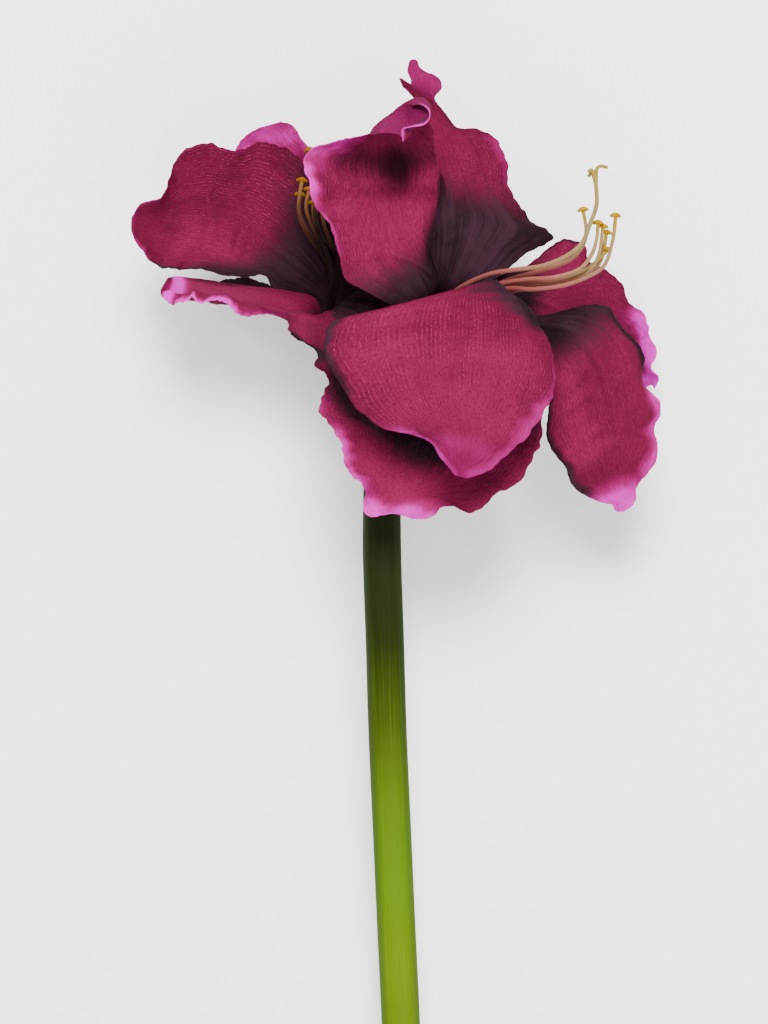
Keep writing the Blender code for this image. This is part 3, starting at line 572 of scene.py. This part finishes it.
        "second": [(-30, 58, -30), (-42, 60.5, -48), (-49.6, 63.2, -58), (-56.3, 66.2, -65), (-63, 67.4, -71),
            (-70, 66, -75), (-74, 63, -75)],
        "waves": (0.6, 7, 0.8), "dark": (0.42, 0.46, 1.05, 0.3), "shade": [(1, 0.2, 0.96, 14, 1.4)]},
    "petal_left_low": {
        "angle": 270, "tone": 0.48,
        "first": [(-31, 42, -1), (-38, 45, 3), (-46, 49.5, 8), (-53, 49.2, 12), (-60, 49, 14), (-65, 51.5, 11),
            (-70, 56, 9), (-74, 55.5, 12), (-79, 54, 14), (-82.5, 57.5, 10), (-86, 54.5, 11), (-91, 54.5, 5),
            (-95.5, 57, -2), (-96, 60, -6)],
        "rib": [(-33, 46, -8), (-46, 52, -10), (-62, 54.5, -12), (-78, 57, -13), (-90, 60, -12),
            (-95.5, 62, -10)],
        "second": [(-29.2, 56.2, -8), (-40.4, 59.9, -14), (-48, 61.3, -20), (-60, 62.7, -30), (-75, 65, -33),
            (-88, 66.5, -26), (-93, 66, -16)],
        "waves": (0.5, 7, 0.1), "calm": 0.2, "dark": (0.05, 0.1, 0.16, 0.25),
        "pink": [(-1, 0.46, 0.86, 4.4, 1.25), (-1, 0.3, 0.5, 2.5, 0.7), (0, 0.875, 0.955, 99, 1.6)],
        "curl": 3.2, "shadeOvals": [((0.14, 0.4), (0.2, 1.4), 0.9)]},
}
petalShape = {
    "clawRadius": 8.0, "clawHalfWidth": 3.3, "clawHeight": 12.0, "clawGrow": 0.6, "clawWiden": 0.5,
    "seatGap": 0.42, "rows": 160, "columns": 76, "crowding": 0.5, "thickness": 0.8, "rimThickness": 0.45,
    "ribDepth": 0.5, "ribWidth": 1.4, "edgeNibble": 0.02, "nibbles": 34, "fineWave": 0.5, "fineWaves": 62,
    "quilt": 0.19, "quiltAcross": 40, "quiltAlong": 150, "bandSoft": (0.06, 0.04),
}


def patches(places, u, v, toMargin, uneven):
    # bands of colour along a margin, the strongest where two of them meet
    field = 0 * u * v
    startSoft, endSoft = petalShape["bandSoft"]
    for side, start, end, width, strength in places:
        fades = ramp(u, end - endSoft, end + endSoft) * (end < 1)
        along = ramp(u, start - startSoft, start + startSoft) * (1 - fades)
        inward = 1 - ramp(toMargin, 0.1 * width * uneven, width * uneven)
        field = np.maximum(field, strength * along * inward * (v * side >= 0))
    return field


def shadeOvals(places, u, v):
    # soft ovals of painted shade on the blade
    field = 0 * u * v
    for middle, reach, strength in places:
        away = np.hypot((u - middle[0]) / reach[0], (v - middle[1]) / reach[1])
        field = np.maximum(field, strength * (1 - ramp(away, 0, 1)))
    return field


def petalMesh(name, petal, seed):
    s = petalShape
    petal = {**plainPetal, **petal}
    bloom = blooms[name.split("_")[1]]
    claw = ((s["seatGap"], s["clawHalfWidth"], s["clawRadius"]),
            (s["clawHeight"] / 2, s["clawHalfWidth"] + s["clawWiden"], s["clawRadius"] + s["clawGrow"]))
    lines = []
    for side, key in ((1, "first"), (0, "rib"), (-1, "second")):
        root = [bloom.around(petal["angle"] + side * math.degrees(half / radius), radius, height)
                for height, half, radius in claw]
        lines.append(alongLine(root + petal[key], s["rows"] + 1, petal["pace"].get(key, evenPace))[:, None, :])
    first, rib, second = lines
    u = np.linspace(0, 1, s["rows"] + 1)[:, None]
    # columns crowd towards the margins, where the ripples are
    even = np.linspace(-1, 1, s["columns"] + 1)[None, :]
    v = s["crowding"] * np.sin(even * math.pi / 2) + (1 - s["crowding"]) * even
    # the margins are nibbled, but the lip of a hood stays smooth
    nibbleFirst = wobble(u * s["nibbles"], seed)
    nibbleSecond = wobble(u * s["nibbles"], seed + 50) * petal["calm"]
    edge = 1 + s["edgeNibble"] * np.where(v < 0, nibbleFirst, nibbleSecond) * ramp(u, 0.2, 0.4)
    calmer = 1 - ramp(u, 0.7, 0.77) * (petal["hood"] > 0)
    w = (v * (1 + (edge - 1) * calmer))[..., None]
    # a hooded tip turns up sharply at its margins
    turnUp = np.abs(w) ** (2 + petal["hood"] * ramp(u, 0.72, 0.82))[..., None]
    grid = rib + (second - first) / 2 * w + (second + first - 2 * rib) / 2 * turnUp
    halfWidth = np.linalg.norm(second - first, axis=2) / 2
    normal = normalsOf(grid)
    # long waves and fine ones grow towards the margins
    height, count, start = petal["waves"]
    calm = np.where(v > 0, petal["calm"], 1.0)
    grow = np.clip((u - 0.22) / 0.2, 0, 1) * np.clip((1.02 - u) / 0.1, 0, 1) * calmer
    wave = np.sin(2 * math.pi * (count * u + start) + 1.7 * (v > 0))
    lift = height * calm * grow * np.abs(v) ** 4 * wave
    fineWave = np.where(v < 0, wobble(u * s["fineWaves"], seed + 7), wobble(u * s["fineWaves"], seed + 9))
    lift = lift + s["fineWave"] * calm * grow * np.abs(v) ** 6 * fineWave
    # the rib lies in a narrow groove, and the blade is quilted softly beside it
    groove = s["ribDepth"] * petal["groove"] * bell(v * halfWidth, s["ribWidth"])
    lift = lift - groove * ramp(u, 0.08, 0.2) * (1 - ramp(u, 0.6, 0.9))
    length = np.linalg.norm(np.diff(rib[:, 0], axis=0), axis=1).sum()
    for start, end, depth, width in petal["creases"]:
        broad = halfWidth[int(start[0] * s["rows"]), 0]
        way = np.array([(end[0] - start[0]) * length, (end[1] - start[1]) * broad])
        beside, over = (u - start[0]) * length, (v - start[1]) * broad
        share = np.clip((beside * way[0] + over * way[1]) / (way @ way), 0, 1)
        away = np.hypot(beside - share * way[0], over - share * way[1])
        lift = lift - depth * bell(away, width) * (1 - np.abs(v) ** 8)
    ripple = np.cos(v * s["quiltAcross"] + wobble(u * 9, seed + 3))
    ripple = ripple * np.cos(u * s["quiltAlong"] + 2 * wobble(v * 5, seed + 4))
    lift = lift + s["quilt"] * ripple * ramp(u, 0.15, 0.35) * (1 - np.abs(v) ** 6)
    grid = grid + normal * lift[..., None]
    # a curled margin stands up before it falls over
    curl = petal["curl"] * ramp(u, 0.3, 0.42) * (1 - ramp(u, 0.9, 1.0)) * (v < 0)
    grid[..., 1] += curl * ramp(-v, 0.3, 0.78) * (1 - ramp(-v, 0.8, 1.0))
    thinning = np.maximum(np.abs(v) ** 8, ramp(u, 0.9, 1.0))
    thickness = s["thickness"] - (s["thickness"] - s["rimThickness"]) * thinning
    # what the material reads: the pink rim, the dark base that climbs unevenly, the painted shade and the
    # painted light
    toMargin = (1 - np.abs(v)) * np.maximum(halfWidth, 2)
    uneven = 1 + 0.4 * wobble(u * 21, seed + 2)
    tip, strength = petal["tip"]
    rim = strength * (1 - ramp((1 - u) * length, 0.2 * tip, 1.3 * tip))
    rim = np.maximum(rim, patches(petal["pink"], u, v, toMargin, uneven))
    darkFirst, darkRib, darkSecond, softness = petal["dark"]
    reach = darkRib + (np.where(v < 0, darkFirst, darkSecond) - darkRib) * v ** 2
    dark = 1 - ramp(u, reach - softness / 2, reach + softness / 2)
    shade = patches(petal["shade"], u, v, toMargin, uneven)
    # painted light: brighter over the whole blade and in bands where the light falls
    tone = np.maximum(petal["tone"], patches(petal["paintedLightBands"], u, v, toMargin, uneven))
    return bladeMesh(name, grid, thickness, across=v, along=u, rim=rim, dark=dark, shade=shade, tone=tone,
                     dim=shadeOvals(petal["shadeOvals"], u, v), kind=seed % 17)


for number, (name, petal) in enumerate(petals.items()):
    addPiece(name.replace("petal", "bladeOf"), petalMesh(name, petal, 11 * number + 5), name, "petal_burgundy",
             materials["petal"])
print("petals made:", len(petals))


def circleOf(sides):
    return np.linspace(0, 2 * math.pi, sides, endpoint=False)


def ringed(line, radii, sides, ridges=0):
    # rings of points round a line, each square to it
    way = np.gradient(line, axis=0)
    way /= np.linalg.norm(way, axis=1, keepdims=True)
    out = np.cross(way, [0.0, 0.0, 1.0])
    out /= np.linalg.norm(out, axis=1, keepdims=True)
    up = np.cross(out, way)
    turn = circleOf(sides)[None, :, None]
    radius = radii[:, None] * np.ones((1, sides)) + ridges
    return line[:, None] + radius[..., None] * (np.cos(turn) * out[:, None] + np.sin(turn) * up[:, None])


def tubeMesh(name, rings):
    # a closed tube: down runs from its first end to its last, round from one flank to the other
    count, sides = rings.shape[:2]
    index = np.arange(count * sides).reshape(count, sides)
    a, b = index[:-1], index[1:]
    faces = [tuple(f) for f in np.stack([a, np.roll(a, -1, 1), np.roll(b, -1, 1), b], 2).reshape(-1, 4)]
    for row, centre in ((index[0], count * sides), (index[-1][::-1], count * sides + 1)):
        faces += [(row[(k + 1) % sides], row[k], centre) for k in range(sides)]
    points = insideBox(toWorld(np.vstack([rings.reshape(-1, 3), rings[0].mean(0), rings[-1].mean(0)])))
    down = np.append(np.repeat(np.linspace(0, 1, count), sides), [0, 1])
    about = np.append(np.tile(np.cos(circleOf(sides)), count), [0, 0])
    mesh = meshOf(name, points, faces, down=down, round=about)
    shape = bmesh.new()
    shape.from_mesh(mesh)
    bmesh.ops.recalc_face_normals(shape, faces=shape.faces)
    shape.to_mesh(mesh)
    shape.free()
    return mesh


scape = {"radius": 8.4, "skinGap": 0.15, "endRound": 0.5, "endRoundOver": 1.2, "topNarrow": 0.35,
         "narrowOver": (20, 50), "sides": 64, "rings": 220, "ringGap": 1.6, "ridges": 0.12,
         "line": [(-1.2, -0.2, 0), (-0.9, -25, 0), (-0.8, -55, 0), (0.4, -90, 0), (1.6, -130, 0),
                  (3.6, -175, 0), (5.4, -215, 0), (7.3, -255, 0), (9.3, -305, 0), (11, -353, 0)]}
fromTop = np.arange(scape["rings"]) * scape["ringGap"]
rounding = 1 - ramp(np.minimum(fromTop, fromTop[::-1]), 0, scape["endRoundOver"])
scapeRadii = scape["radius"] - scape["skinGap"] - scape["endRound"] * rounding
scapeRadii = scapeRadii - scape["topNarrow"] * (1 - ramp(fromTop, *scape["narrowOver"]))
scapeTurn = circleOf(scape["sides"])
scapeRidges = scape["ridges"] * (0.6 * np.sin(scapeTurn * 9 + 1) + 0.4 * np.sin(scapeTurn * 17))
scapeRings = ringed(alongLine(scape["line"], scape["rings"]), scapeRadii, scape["sides"], scapeRidges)
piece = addPiece("scapeStalk", tubeMesh("scapeStalk", scapeRings), "scape", "scape_green", materials["scape"],
                 materials["cut"])
for face in piece.data.polygons:
    # the triangles are the two cut ends
    if len(face.vertices) == 3:
        face.material_index = 1
print("scape made")

stalks = {"pedicel_left": {"root": (-6.3, 0.84, 0), "way": [(-6, 14, -1.5), (-3.6, 27, -3)]},
          "pedicel_right": {"root": (2.3, 0.84, 0), "way": [(3.4, 14, -1), (7.4, 27, -5)]}}
stalkShape = {
    "base": 3.7, "ovary": 6.2, "ovaryAt": 0.72, "ovaryWidth": 0.17, "neck": 5.0, "sides": 48, "skinGap": 0.05,
    "lobes": 0.035, "lobesAt": 0.62, "lobesWidth": 0.14, "behind": (14, 5), "steps": 14,
    # the disc that carries the claws, by its distance behind the bloom's centre and its radius there
    "discBehind": [3.6, 3.2, 2.7, 2.3, 1.8, 1.35, 0.9, 0.5, 0.0],
    "discRadii": [5.15, 5.5, 6.1, 6.8, 7.5, 8.3, 9.0, 9.3, 9.35],
}


def stalkMesh(name, stalk):
    s = stalkShape
    bloom = blooms[name.split("_")[1]]
    line = smoothLine([stalk["root"]] + stalk["way"] + [bloom.centre - bloom.axis * far for far in s["behind"]],
                      s["steps"])
    share = np.linspace(0, 1, len(line))
    base = s["base"] + (s["neck"] - s["base"]) * share
    radii = base + (s["ovary"] - base) * bell(share - s["ovaryAt"], s["ovaryWidth"])
    line = np.vstack([line, bloom.centre - bloom.axis * np.array(s["discBehind"])[:, None]])
    radii = np.concatenate([radii, s["discRadii"]])
    rings = ringed(line, radii - s["skinGap"], s["sides"])
    # three lobes of the ovary
    swell = s["lobes"] * bell(np.linspace(0, 1, len(line)) - s["lobesAt"], s["lobesWidth"])
    lobed = 1 + swell[:, None] * (np.cos(3 * circleOf(s["sides"]))[None, :] - 1)
    centre = line[:, None]
    return tubeMesh(name, centre + (rings - centre) * lobed[..., None])


for name, stalk in stalks.items():
    addPiece(name.replace("pedicel", "stalkOf"), stalkMesh(name, stalk), name, "stalk_green",
             materials["stalk"])

# the two papery bracts below the flowers, by the way they face
bracts = {"bract_front": 90, "bract_back": 270}
bractShape = {"middle": -2, "radius": 9.22, "belly": 1.2, "flare": 2.0, "length": 34.0, "below": 7.0,
              "spread": 62, "tipSpread": 3, "pleat": 0.12, "rows": 70, "columns": 36, "thickness": 0.5}
for name, toward in bracts.items():
    s = bractShape
    u = np.linspace(0, 1, s["rows"] + 1)[:, None]
    v = np.linspace(-1, 1, s["columns"] + 1)[None, :]
    spread = np.radians(s["spread"] * (1 - u ** 2.2) + s["tipSpread"])
    pleats = s["pleat"] * np.sin(v * 17 + 2 * np.sin(u * 5)) * ramp(u, 0.05, 0.3)
    radius = s["radius"] + s["belly"] * np.sin(math.pi * u) + s["flare"] * u ** 2 + pleats
    turn = math.radians(toward) + spread * v
    grid = np.stack([s["middle"] + radius * np.cos(turn), -s["below"] + s["length"] * u + 0 * v,
                     radius * np.sin(turn)], 2)
    addPiece(name.replace("bract", "spathe"), bladeMesh(name, grid, s["thickness"], across=v, along=u), name,
             "bract_papery", materials["bract"])
print("stalks and spathe made")


# a tree sweeps the filaments, sets an anther on each and dusts it with pollen
stamenShape = {
    "filament": 1.12, "taper": 0.7, "unevenness": 0.04, "steps": 46, "sides": 16, "rootCircle": 3.5,
    "rootHeights": (1.22, 7), "bossHeights": (0.42, 0.67, 1.32, 1.82, 2.02),
    "bossRadii": (4.75, 5.15, 5.15, 4.95, 4.45), "style": 1.0, "styleTaper": (1.12, 0.92), "styleSteps": 60,
    "styleHeights": (2.8, 4.5), "lobeTaper": (0.97, 0.7), "lobeTone": 0.92, "lobeSteps": 12,
    "antherLength": 5.0, "antherWidth": 2.7, "antherHeight": 1.9, "antherSag": 110.0, "pollen": 110,
    "pollenSize": 0.16,
}
rightFilaments = [
    (5, [(36, 56.5, 14), (53, 63.8, 23), (63, 66.6, 29), (72, 69, 34), (80.5, 73, 38), (85, 79, 41),
         (86, 85, 43), (84.5, 93.5, 45)]),
    (215, [(34, 55, 15), (52, 60.2, 24), (63, 59.8, 29), (76, 61.2, 34), (87, 65, 38), (94, 70, 41),
           (97.4, 80.8, 44), (98.5, 91, 46)]),
    (320, [(38, 54, 12), (54, 59, 19), (66, 61, 24), (78, 62.9, 29), (88.6, 67.8, 33), (92.9, 73, 36),
           (94.8, 84, 39)]),
    (255, [(35, 53, 12), (52, 61, 20), (64, 62.5, 26), (77, 63, 31), (86.5, 66.5, 35), (91.5, 74, 38),
           (93.2, 86.5, 41)]),
    (45, [(35, 57, 13), (48, 61.5, 19), (61, 63, 25), (73, 63.8, 30), (83, 66.5, 34), (90, 71, 36.5),
          (95.5, 76.5, 38)]),
    (175, [(33, 56.5, 15), (47, 61.5, 22), (60, 64, 29), (73, 64.8, 35.5), (83, 68, 39.5), (88.2, 74, 42),
           (90.5, 81, 43), (91, 88, 43.5)]),
]
rightStyle = [(26, 54.8, 9.5), (33, 61, 15), (44, 66, 22), (55, 68, 30), (67, 69.4, 37), (77, 73.2, 43),
              (84, 78.8, 47), (87.5, 87, 49.5), (90.2, 95, 51), (90, 103, 52), (89.4, 108.5, 52.3)]
rightLobes = [[(88.2, 109.7, 53.4), (86.6, 109.1, 54)], [(90.2, 110, 53), (92, 111.5, 53), (95, 110.8, 53)],
              [(88.4, 108.3, 51.4), (86.5, 107.1, 51)]]
leftFilaments = [
    (100, [(-21, 57, -5), (-19.5, 66, -3), (-20.5, 76, -1), (-24, 88, 1), (-28, 101, 4), (-32, 120.5, 6)]),
    (145, [(-22, 57, -6), (-21, 66, -4), (-24, 74.5, -1.5), (-29.5, 80.5, 0), (-34.3, 88, 1.5),
           (-36.7, 96, 2.5), (-35.2, 107.5, 3.5)]),
    (75, [(-21, 57, -4), (-19.5, 66, -2), (-23, 75, 0), (-28, 82, 2), (-31.5, 89, 3.5), (-33.5, 96, 4.5),
          (-32, 103.5, 5.5)]),
    (280, [(-21, 56, -3.5), (-19, 66, -1.5), (-21, 76, 1), (-24.5, 84, 3), (-26.5, 92, 4), (-26, 100, 5)]),
    (190, [(-23, 57, -7), (-22, 66, -4.5), (-25.5, 74, -2.5), (-30.5, 80.5, -1), (-35, 88, 0.5),
           (-36.8, 95, 1), (-36, 101.5, 1.5)]),
    (240, [(-22, 56.5, -5), (-20.5, 66, -3.5), (-22.5, 76, -1.5), (-27, 83, 0.5), (-30, 90, 2),
           (-30.5, 98, 3.5)]),
]
leftStyle = [(-22.5, 49, -3), (-23, 57, -0.5), (-22.5, 66, 1.8), (-24.5, 75, 3.6), (-27.5, 83, 5.6),
             (-29.5, 92, 8), (-29, 105, 10), (-27, 116, 12)]
leftLobes = [[(-29.5, 118, 13)], [(-24.5, 118.5, 12)], [(-27, 119, 9.5)]]


class Tree:
    # a Geometry Nodes tree with named inputs
    def __init__(self, name, **sizes):
        self.group = bpy.data.node_groups.new(name, "GeometryNodeTree")
        face = self.group.interface
        for way in ("INPUT", "OUTPUT"):
            face.new_socket("Geometry", in_out=way, socket_type="NodeSocketGeometry")
        self.keys = {key: face.new_socket(key, in_out="INPUT", socket_type="NodeSocket" + kind).identifier
                     for key, kind in sizes.items()}
        self.start = self.group.nodes.new("NodeGroupInput")

    def add(self, kind, inputs=None, **settings):
        # gives the new node's first output; a list is several links into one input
        node = self.group.nodes.new(kind if "Node" in kind else "GeometryNode" + kind)
        for key, value in settings.items():
            setattr(node, key, value)
        for key, value in (inputs or {}).items():
            for one in value if isinstance(value, list) else [value]:
                if isinstance(one, bpy.types.NodeSocket):
                    self.group.links.new(one, node.inputs[key])
                else:
                    node.inputs[key].default_value = one
        return node.outputs[0]

    def given(self, name):
        return self.start.outputs[name]

    def named(self, name, kind="FLOAT"):
        return self.add("InputNamedAttribute", {0: name}, data_type=kind)

    def close(self, socket):
        self.group.links.new(socket, self.group.nodes.new("NodeGroupOutput").inputs[0])


def sweepTree():
    # edges of the guide mesh become round stalks, its loose points carry anthers
    t = Tree("stamenSweep", Sides="Int", Length="Float", Width="Float", Height="Float", Sag="Float",
             Pollen="Float", Grain="Float", Seed="Int")
    tip, thick = t.named("tip"), t.named("thick")
    tips = t.add("SeparateGeometry", {0: t.given("Geometry"), 1: tip}, domain="POINT")
    curve = t.add("MeshToCurve", {0: tips.node.outputs[1]})
    curve = t.add("SetCurveRadius", {0: curve, 2: thick})
    ring = t.add("CurvePrimitiveCircle", {0: t.given("Sides"), "Radius": 1.0}, mode="RADIUS")
    stalk = t.add("CurveToMesh", {"Curve": curve, "Profile Curve": ring, "Scale": thick, "Fill Caps": True})
    # the anther is a flattened ball that sags at both ends
    ball = t.add("MeshUVSphere", {"Segments": 24, "Rings": 16, "Radius": 0.5})
    size = t.add("ShaderNodeCombineXYZ", {0: t.given("Length"), 1: t.given("Width"), 2: t.given("Height")})
    ball = t.add("Transform", {0: ball, "Scale": size})
    x = t.add("ShaderNodeSeparateXYZ", {0: t.add("InputPosition")})
    square = t.add("ShaderNodeMath", {0: x, 1: x}, operation="MULTIPLY")
    drop = t.add("ShaderNodeMath", {0: square, 1: t.given("Sag")}, operation="MULTIPLY")
    ball = t.add("SetPosition", {0: ball, 3: t.add("ShaderNodeCombineXYZ", {2: drop})})
    # grains of pollen stick to it
    places = t.add("DistributePointsOnFaces",
                   {"Mesh": ball, "Density": t.given("Pollen"), "Seed": t.given("Seed")})
    grain = t.add("MeshIcoSphere", {"Radius": t.given("Grain"), "Subdivisions": 1})
    dust = t.add("InstanceOnPoints", {"Points": places, "Instance": grain})
    dusty = t.add("JoinGeometry", {0: [ball, dust]})
    # each anther lies across its filament's end
    points = t.add("MeshToPoints", {0: tips})
    turn = t.add("FunctionNodeEulerToRotation", {0: t.named("lay", "FLOAT_VECTOR")})
    anthers = t.add("InstanceOnPoints", {"Points": points, "Instance": dusty, "Rotation": turn})
    plain = t.add("RealizeInstances", {0: t.add("JoinGeometry", {0: [stalk, anthers]})})
    smooth = t.add("SetShadeSmooth", {0: plain})
    dressed = t.add("SetMaterial", {0: smooth, 2: materials["filament"]})
    t.close(t.add("SetMaterial", {0: dressed, 1: tip, 2: materials["anther"]}))
    return t


sweep = sweepTree()


def sweptMesh(name, lines, tips, seed):
    # guide: a polyline for each stalk, with where its colours start, and one loose point for each anther
    points, edges, thick, down = [], [], [], []
    for line, radii, root in lines:
        edges += [(len(points) + k, len(points) + k + 1) for k in range(len(line) - 1)]
        points += list(toWorld(line))
        thick += list(radii * mm)
        down += list(np.linspace(root, 1, len(line)))
    onLines = len(points)
    points += [toWorld(where) for where, turn in tips]
    guide = meshOf(name + "Guide", points, [], edges, thick=thick + [mm] * len(tips),
                   down=down + [1.0] * len(tips), tip=[0.0] * onLines + [1.0] * len(tips))
    lay = np.array([(0.0, 0.0, 0.0)] * onLines + [turn for where, turn in tips])
    guide.attributes.new("lay", "FLOAT_VECTOR", "POINT").data.foreach_set("vector", lay.ravel())
    holder = placed(name + "Guide", guide)
    modifier = holder.modifiers.new("sweep", "NODES")
    modifier.node_group = sweep.group
    s = stamenShape
    # a ball of these sizes has about 35 square millimetres to dust
    values = {"Sides": s["sides"], "Length": s["antherLength"] * mm, "Width": s["antherWidth"] * mm,
              "Height": s["antherHeight"] * mm, "Sag": -s["antherSag"], "Pollen": s["pollen"] / (35 * mm * mm),
              "Grain": s["pollenSize"] * mm, "Seed": seed}
    for key, value in values.items():
        modifier[sweep.keys[key]] = value
    bpy.context.view_layer.update()
    mesh = bpy.data.meshes.new_from_object(holder.evaluated_get(bpy.context.evaluated_depsgraph_get()))
    holder.modifiers.clear()
    bpy.data.objects.remove(holder, do_unlink=True)
    points = np.empty(len(mesh.vertices) * 3)
    mesh.vertices.foreach_get("co", points)
    mesh.vertices.foreach_set("co", insideBox(points.reshape(-1, 3)).ravel())
    mesh.update()
    return mesh


def layOf(way):
    # euler that lays an anther across its filament's end
    z = Vector(turnMatrix @ np.array(way)).normalized()
    return tuple(Vector((0, 0, 1)).rotation_difference(z).to_euler())


for side, filaments, seed in (("right", rightFilaments, 3), ("left", leftFilaments, 8)):
    s = stamenShape
    bloom = blooms[side]
    boss = np.array([bloom.centre + bloom.axis * height for height in s["bossHeights"]])
    lines = [(boss, np.array(s["bossRadii"]), 0)]
    tips = []
    share = np.linspace(0, 1, s["steps"])
    for degrees, way in filaments:
        start = [bloom.around(degrees, s["rootCircle"], height) for height in s["rootHeights"]]
        line = alongLine(start + way, s["steps"])
        radii = s["filament"] * (1 - (1 - s["taper"]) * share)
        lines.append((line, radii * (1 + s["unevenness"] * np.sin(share * 40 + degrees)), 0))
        tips.append((line[-1], layOf(line[-1] - line[-2])))
    mesh = sweptMesh("filaments" + side, lines, tips, seed)
    # the left bloom's filaments and anthers take the darker copies, painted shade
    if side == "left":
        for key in ("filament", "anther"):
            mesh.materials[list(mesh.materials).index(materials[key])] = materials[key + "InShade"]
    addPiece("filamentsOf_" + side, mesh, "stamens_" + side, "stamen_salmon")

# the left style takes its darker copy, painted shade
for side, way, lobes, finish in (("right", rightStyle, rightLobes, "style"),
                                 ("left", leftStyle, leftLobes, "styleInShade")):
    s = stamenShape
    start = [blooms[side].around(0, 0, height) for height in s["styleHeights"]]
    line = alongLine(start + way, s["styleSteps"])
    lines = [(line, s["style"] * np.linspace(*s["styleTaper"], s["styleSteps"]), 0)]
    for lobe in lobes:
        path = alongLine([line[-3]] + lobe, s["lobeSteps"])
        lines.append((path, s["style"] * np.linspace(*s["lobeTaper"], s["lobeSteps"]), s["lobeTone"]))
    addPiece("styleOf_" + side, sweptMesh("style" + side, lines, [], 1), "style_" + side, "style_cream",
             materials[finish])
print("stamens and styles made")


studio = {"paper": (0.93, 0.93, 0.93), "paperDim": (0.9, 0.9, 0.9), "paperCloud": 3.0, "floorHalf": 4.0,
          "world": 1.2, "distance": 4.0, "frameHeight": 0.4403, "aim": (0.0, -35.3), "sensor": 36,
          "key": {"at": (0.12, 0.95, 2.25), "aim": (0, 0.12, 0.05), "size": 1.1, "power": 148.0},
          "fill": {"at": (0.3, -1.2, 1.9), "aim": (0, 0.0, 0.05), "size": 1.6, "power": 44.0}}

half = studio["floorHalf"]
corners = [(-half, -half, 0), (half, -half, 0), (half, half, 0), (-half, half, 0)]
floorMesh = meshOf("floor", corners, [(0, 1, 2, 3)])
paper = Recipe("floorPaper", Roughness=0.9)
cloud = paper.noise(paper.place(), studio["paperCloud"])
floorMesh.materials.append(paper.finish(paper.mix(cloud, studio["paper"], studio["paperDim"])))
floor = placed("floor", floorMesh)

world = bpy.data.worlds.new("studio")
world.use_nodes = True
background = world.node_tree.nodes["Background"]
background.inputs["Color"].default_value = (1, 1, 1, 1)
background.inputs["Strength"].default_value = studio["world"]
bpy.context.scene.world = world

for name in ("key", "fill"):
    soft = studio[name]
    data = bpy.data.lights.new(name + "Light", "AREA")
    data.shape = "DISK"
    data.size = soft["size"]
    data.energy = soft["power"]
    lamp = placed(name + "Light", data)
    lamp.location = soft["at"]
    lamp.rotation_euler = (Vector(soft["aim"]) - Vector(soft["at"])).to_track_quat("-Z", "Y").to_euler()

# the camera looks straight at the flower's plane, from the photo's angle
ahead = turnMatrix @ np.array([0.0, 0.0, -1.0])
sight = toWorld([*studio["aim"], 0.0])
camera = placed("camera", bpy.data.cameras.new("camera"))
camera.data.sensor_width = studio["sensor"]
camera.data.lens = studio["sensor"] * studio["distance"] / studio["frameHeight"]
camera.data.clip_end = 50
stand = Matrix.Translation(sight - ahead * studio["distance"])
camera.matrix_world = stand @ Matrix(turnMatrix.tolist()).to_4x4()
bpy.context.scene.camera = camera
print("studio made")
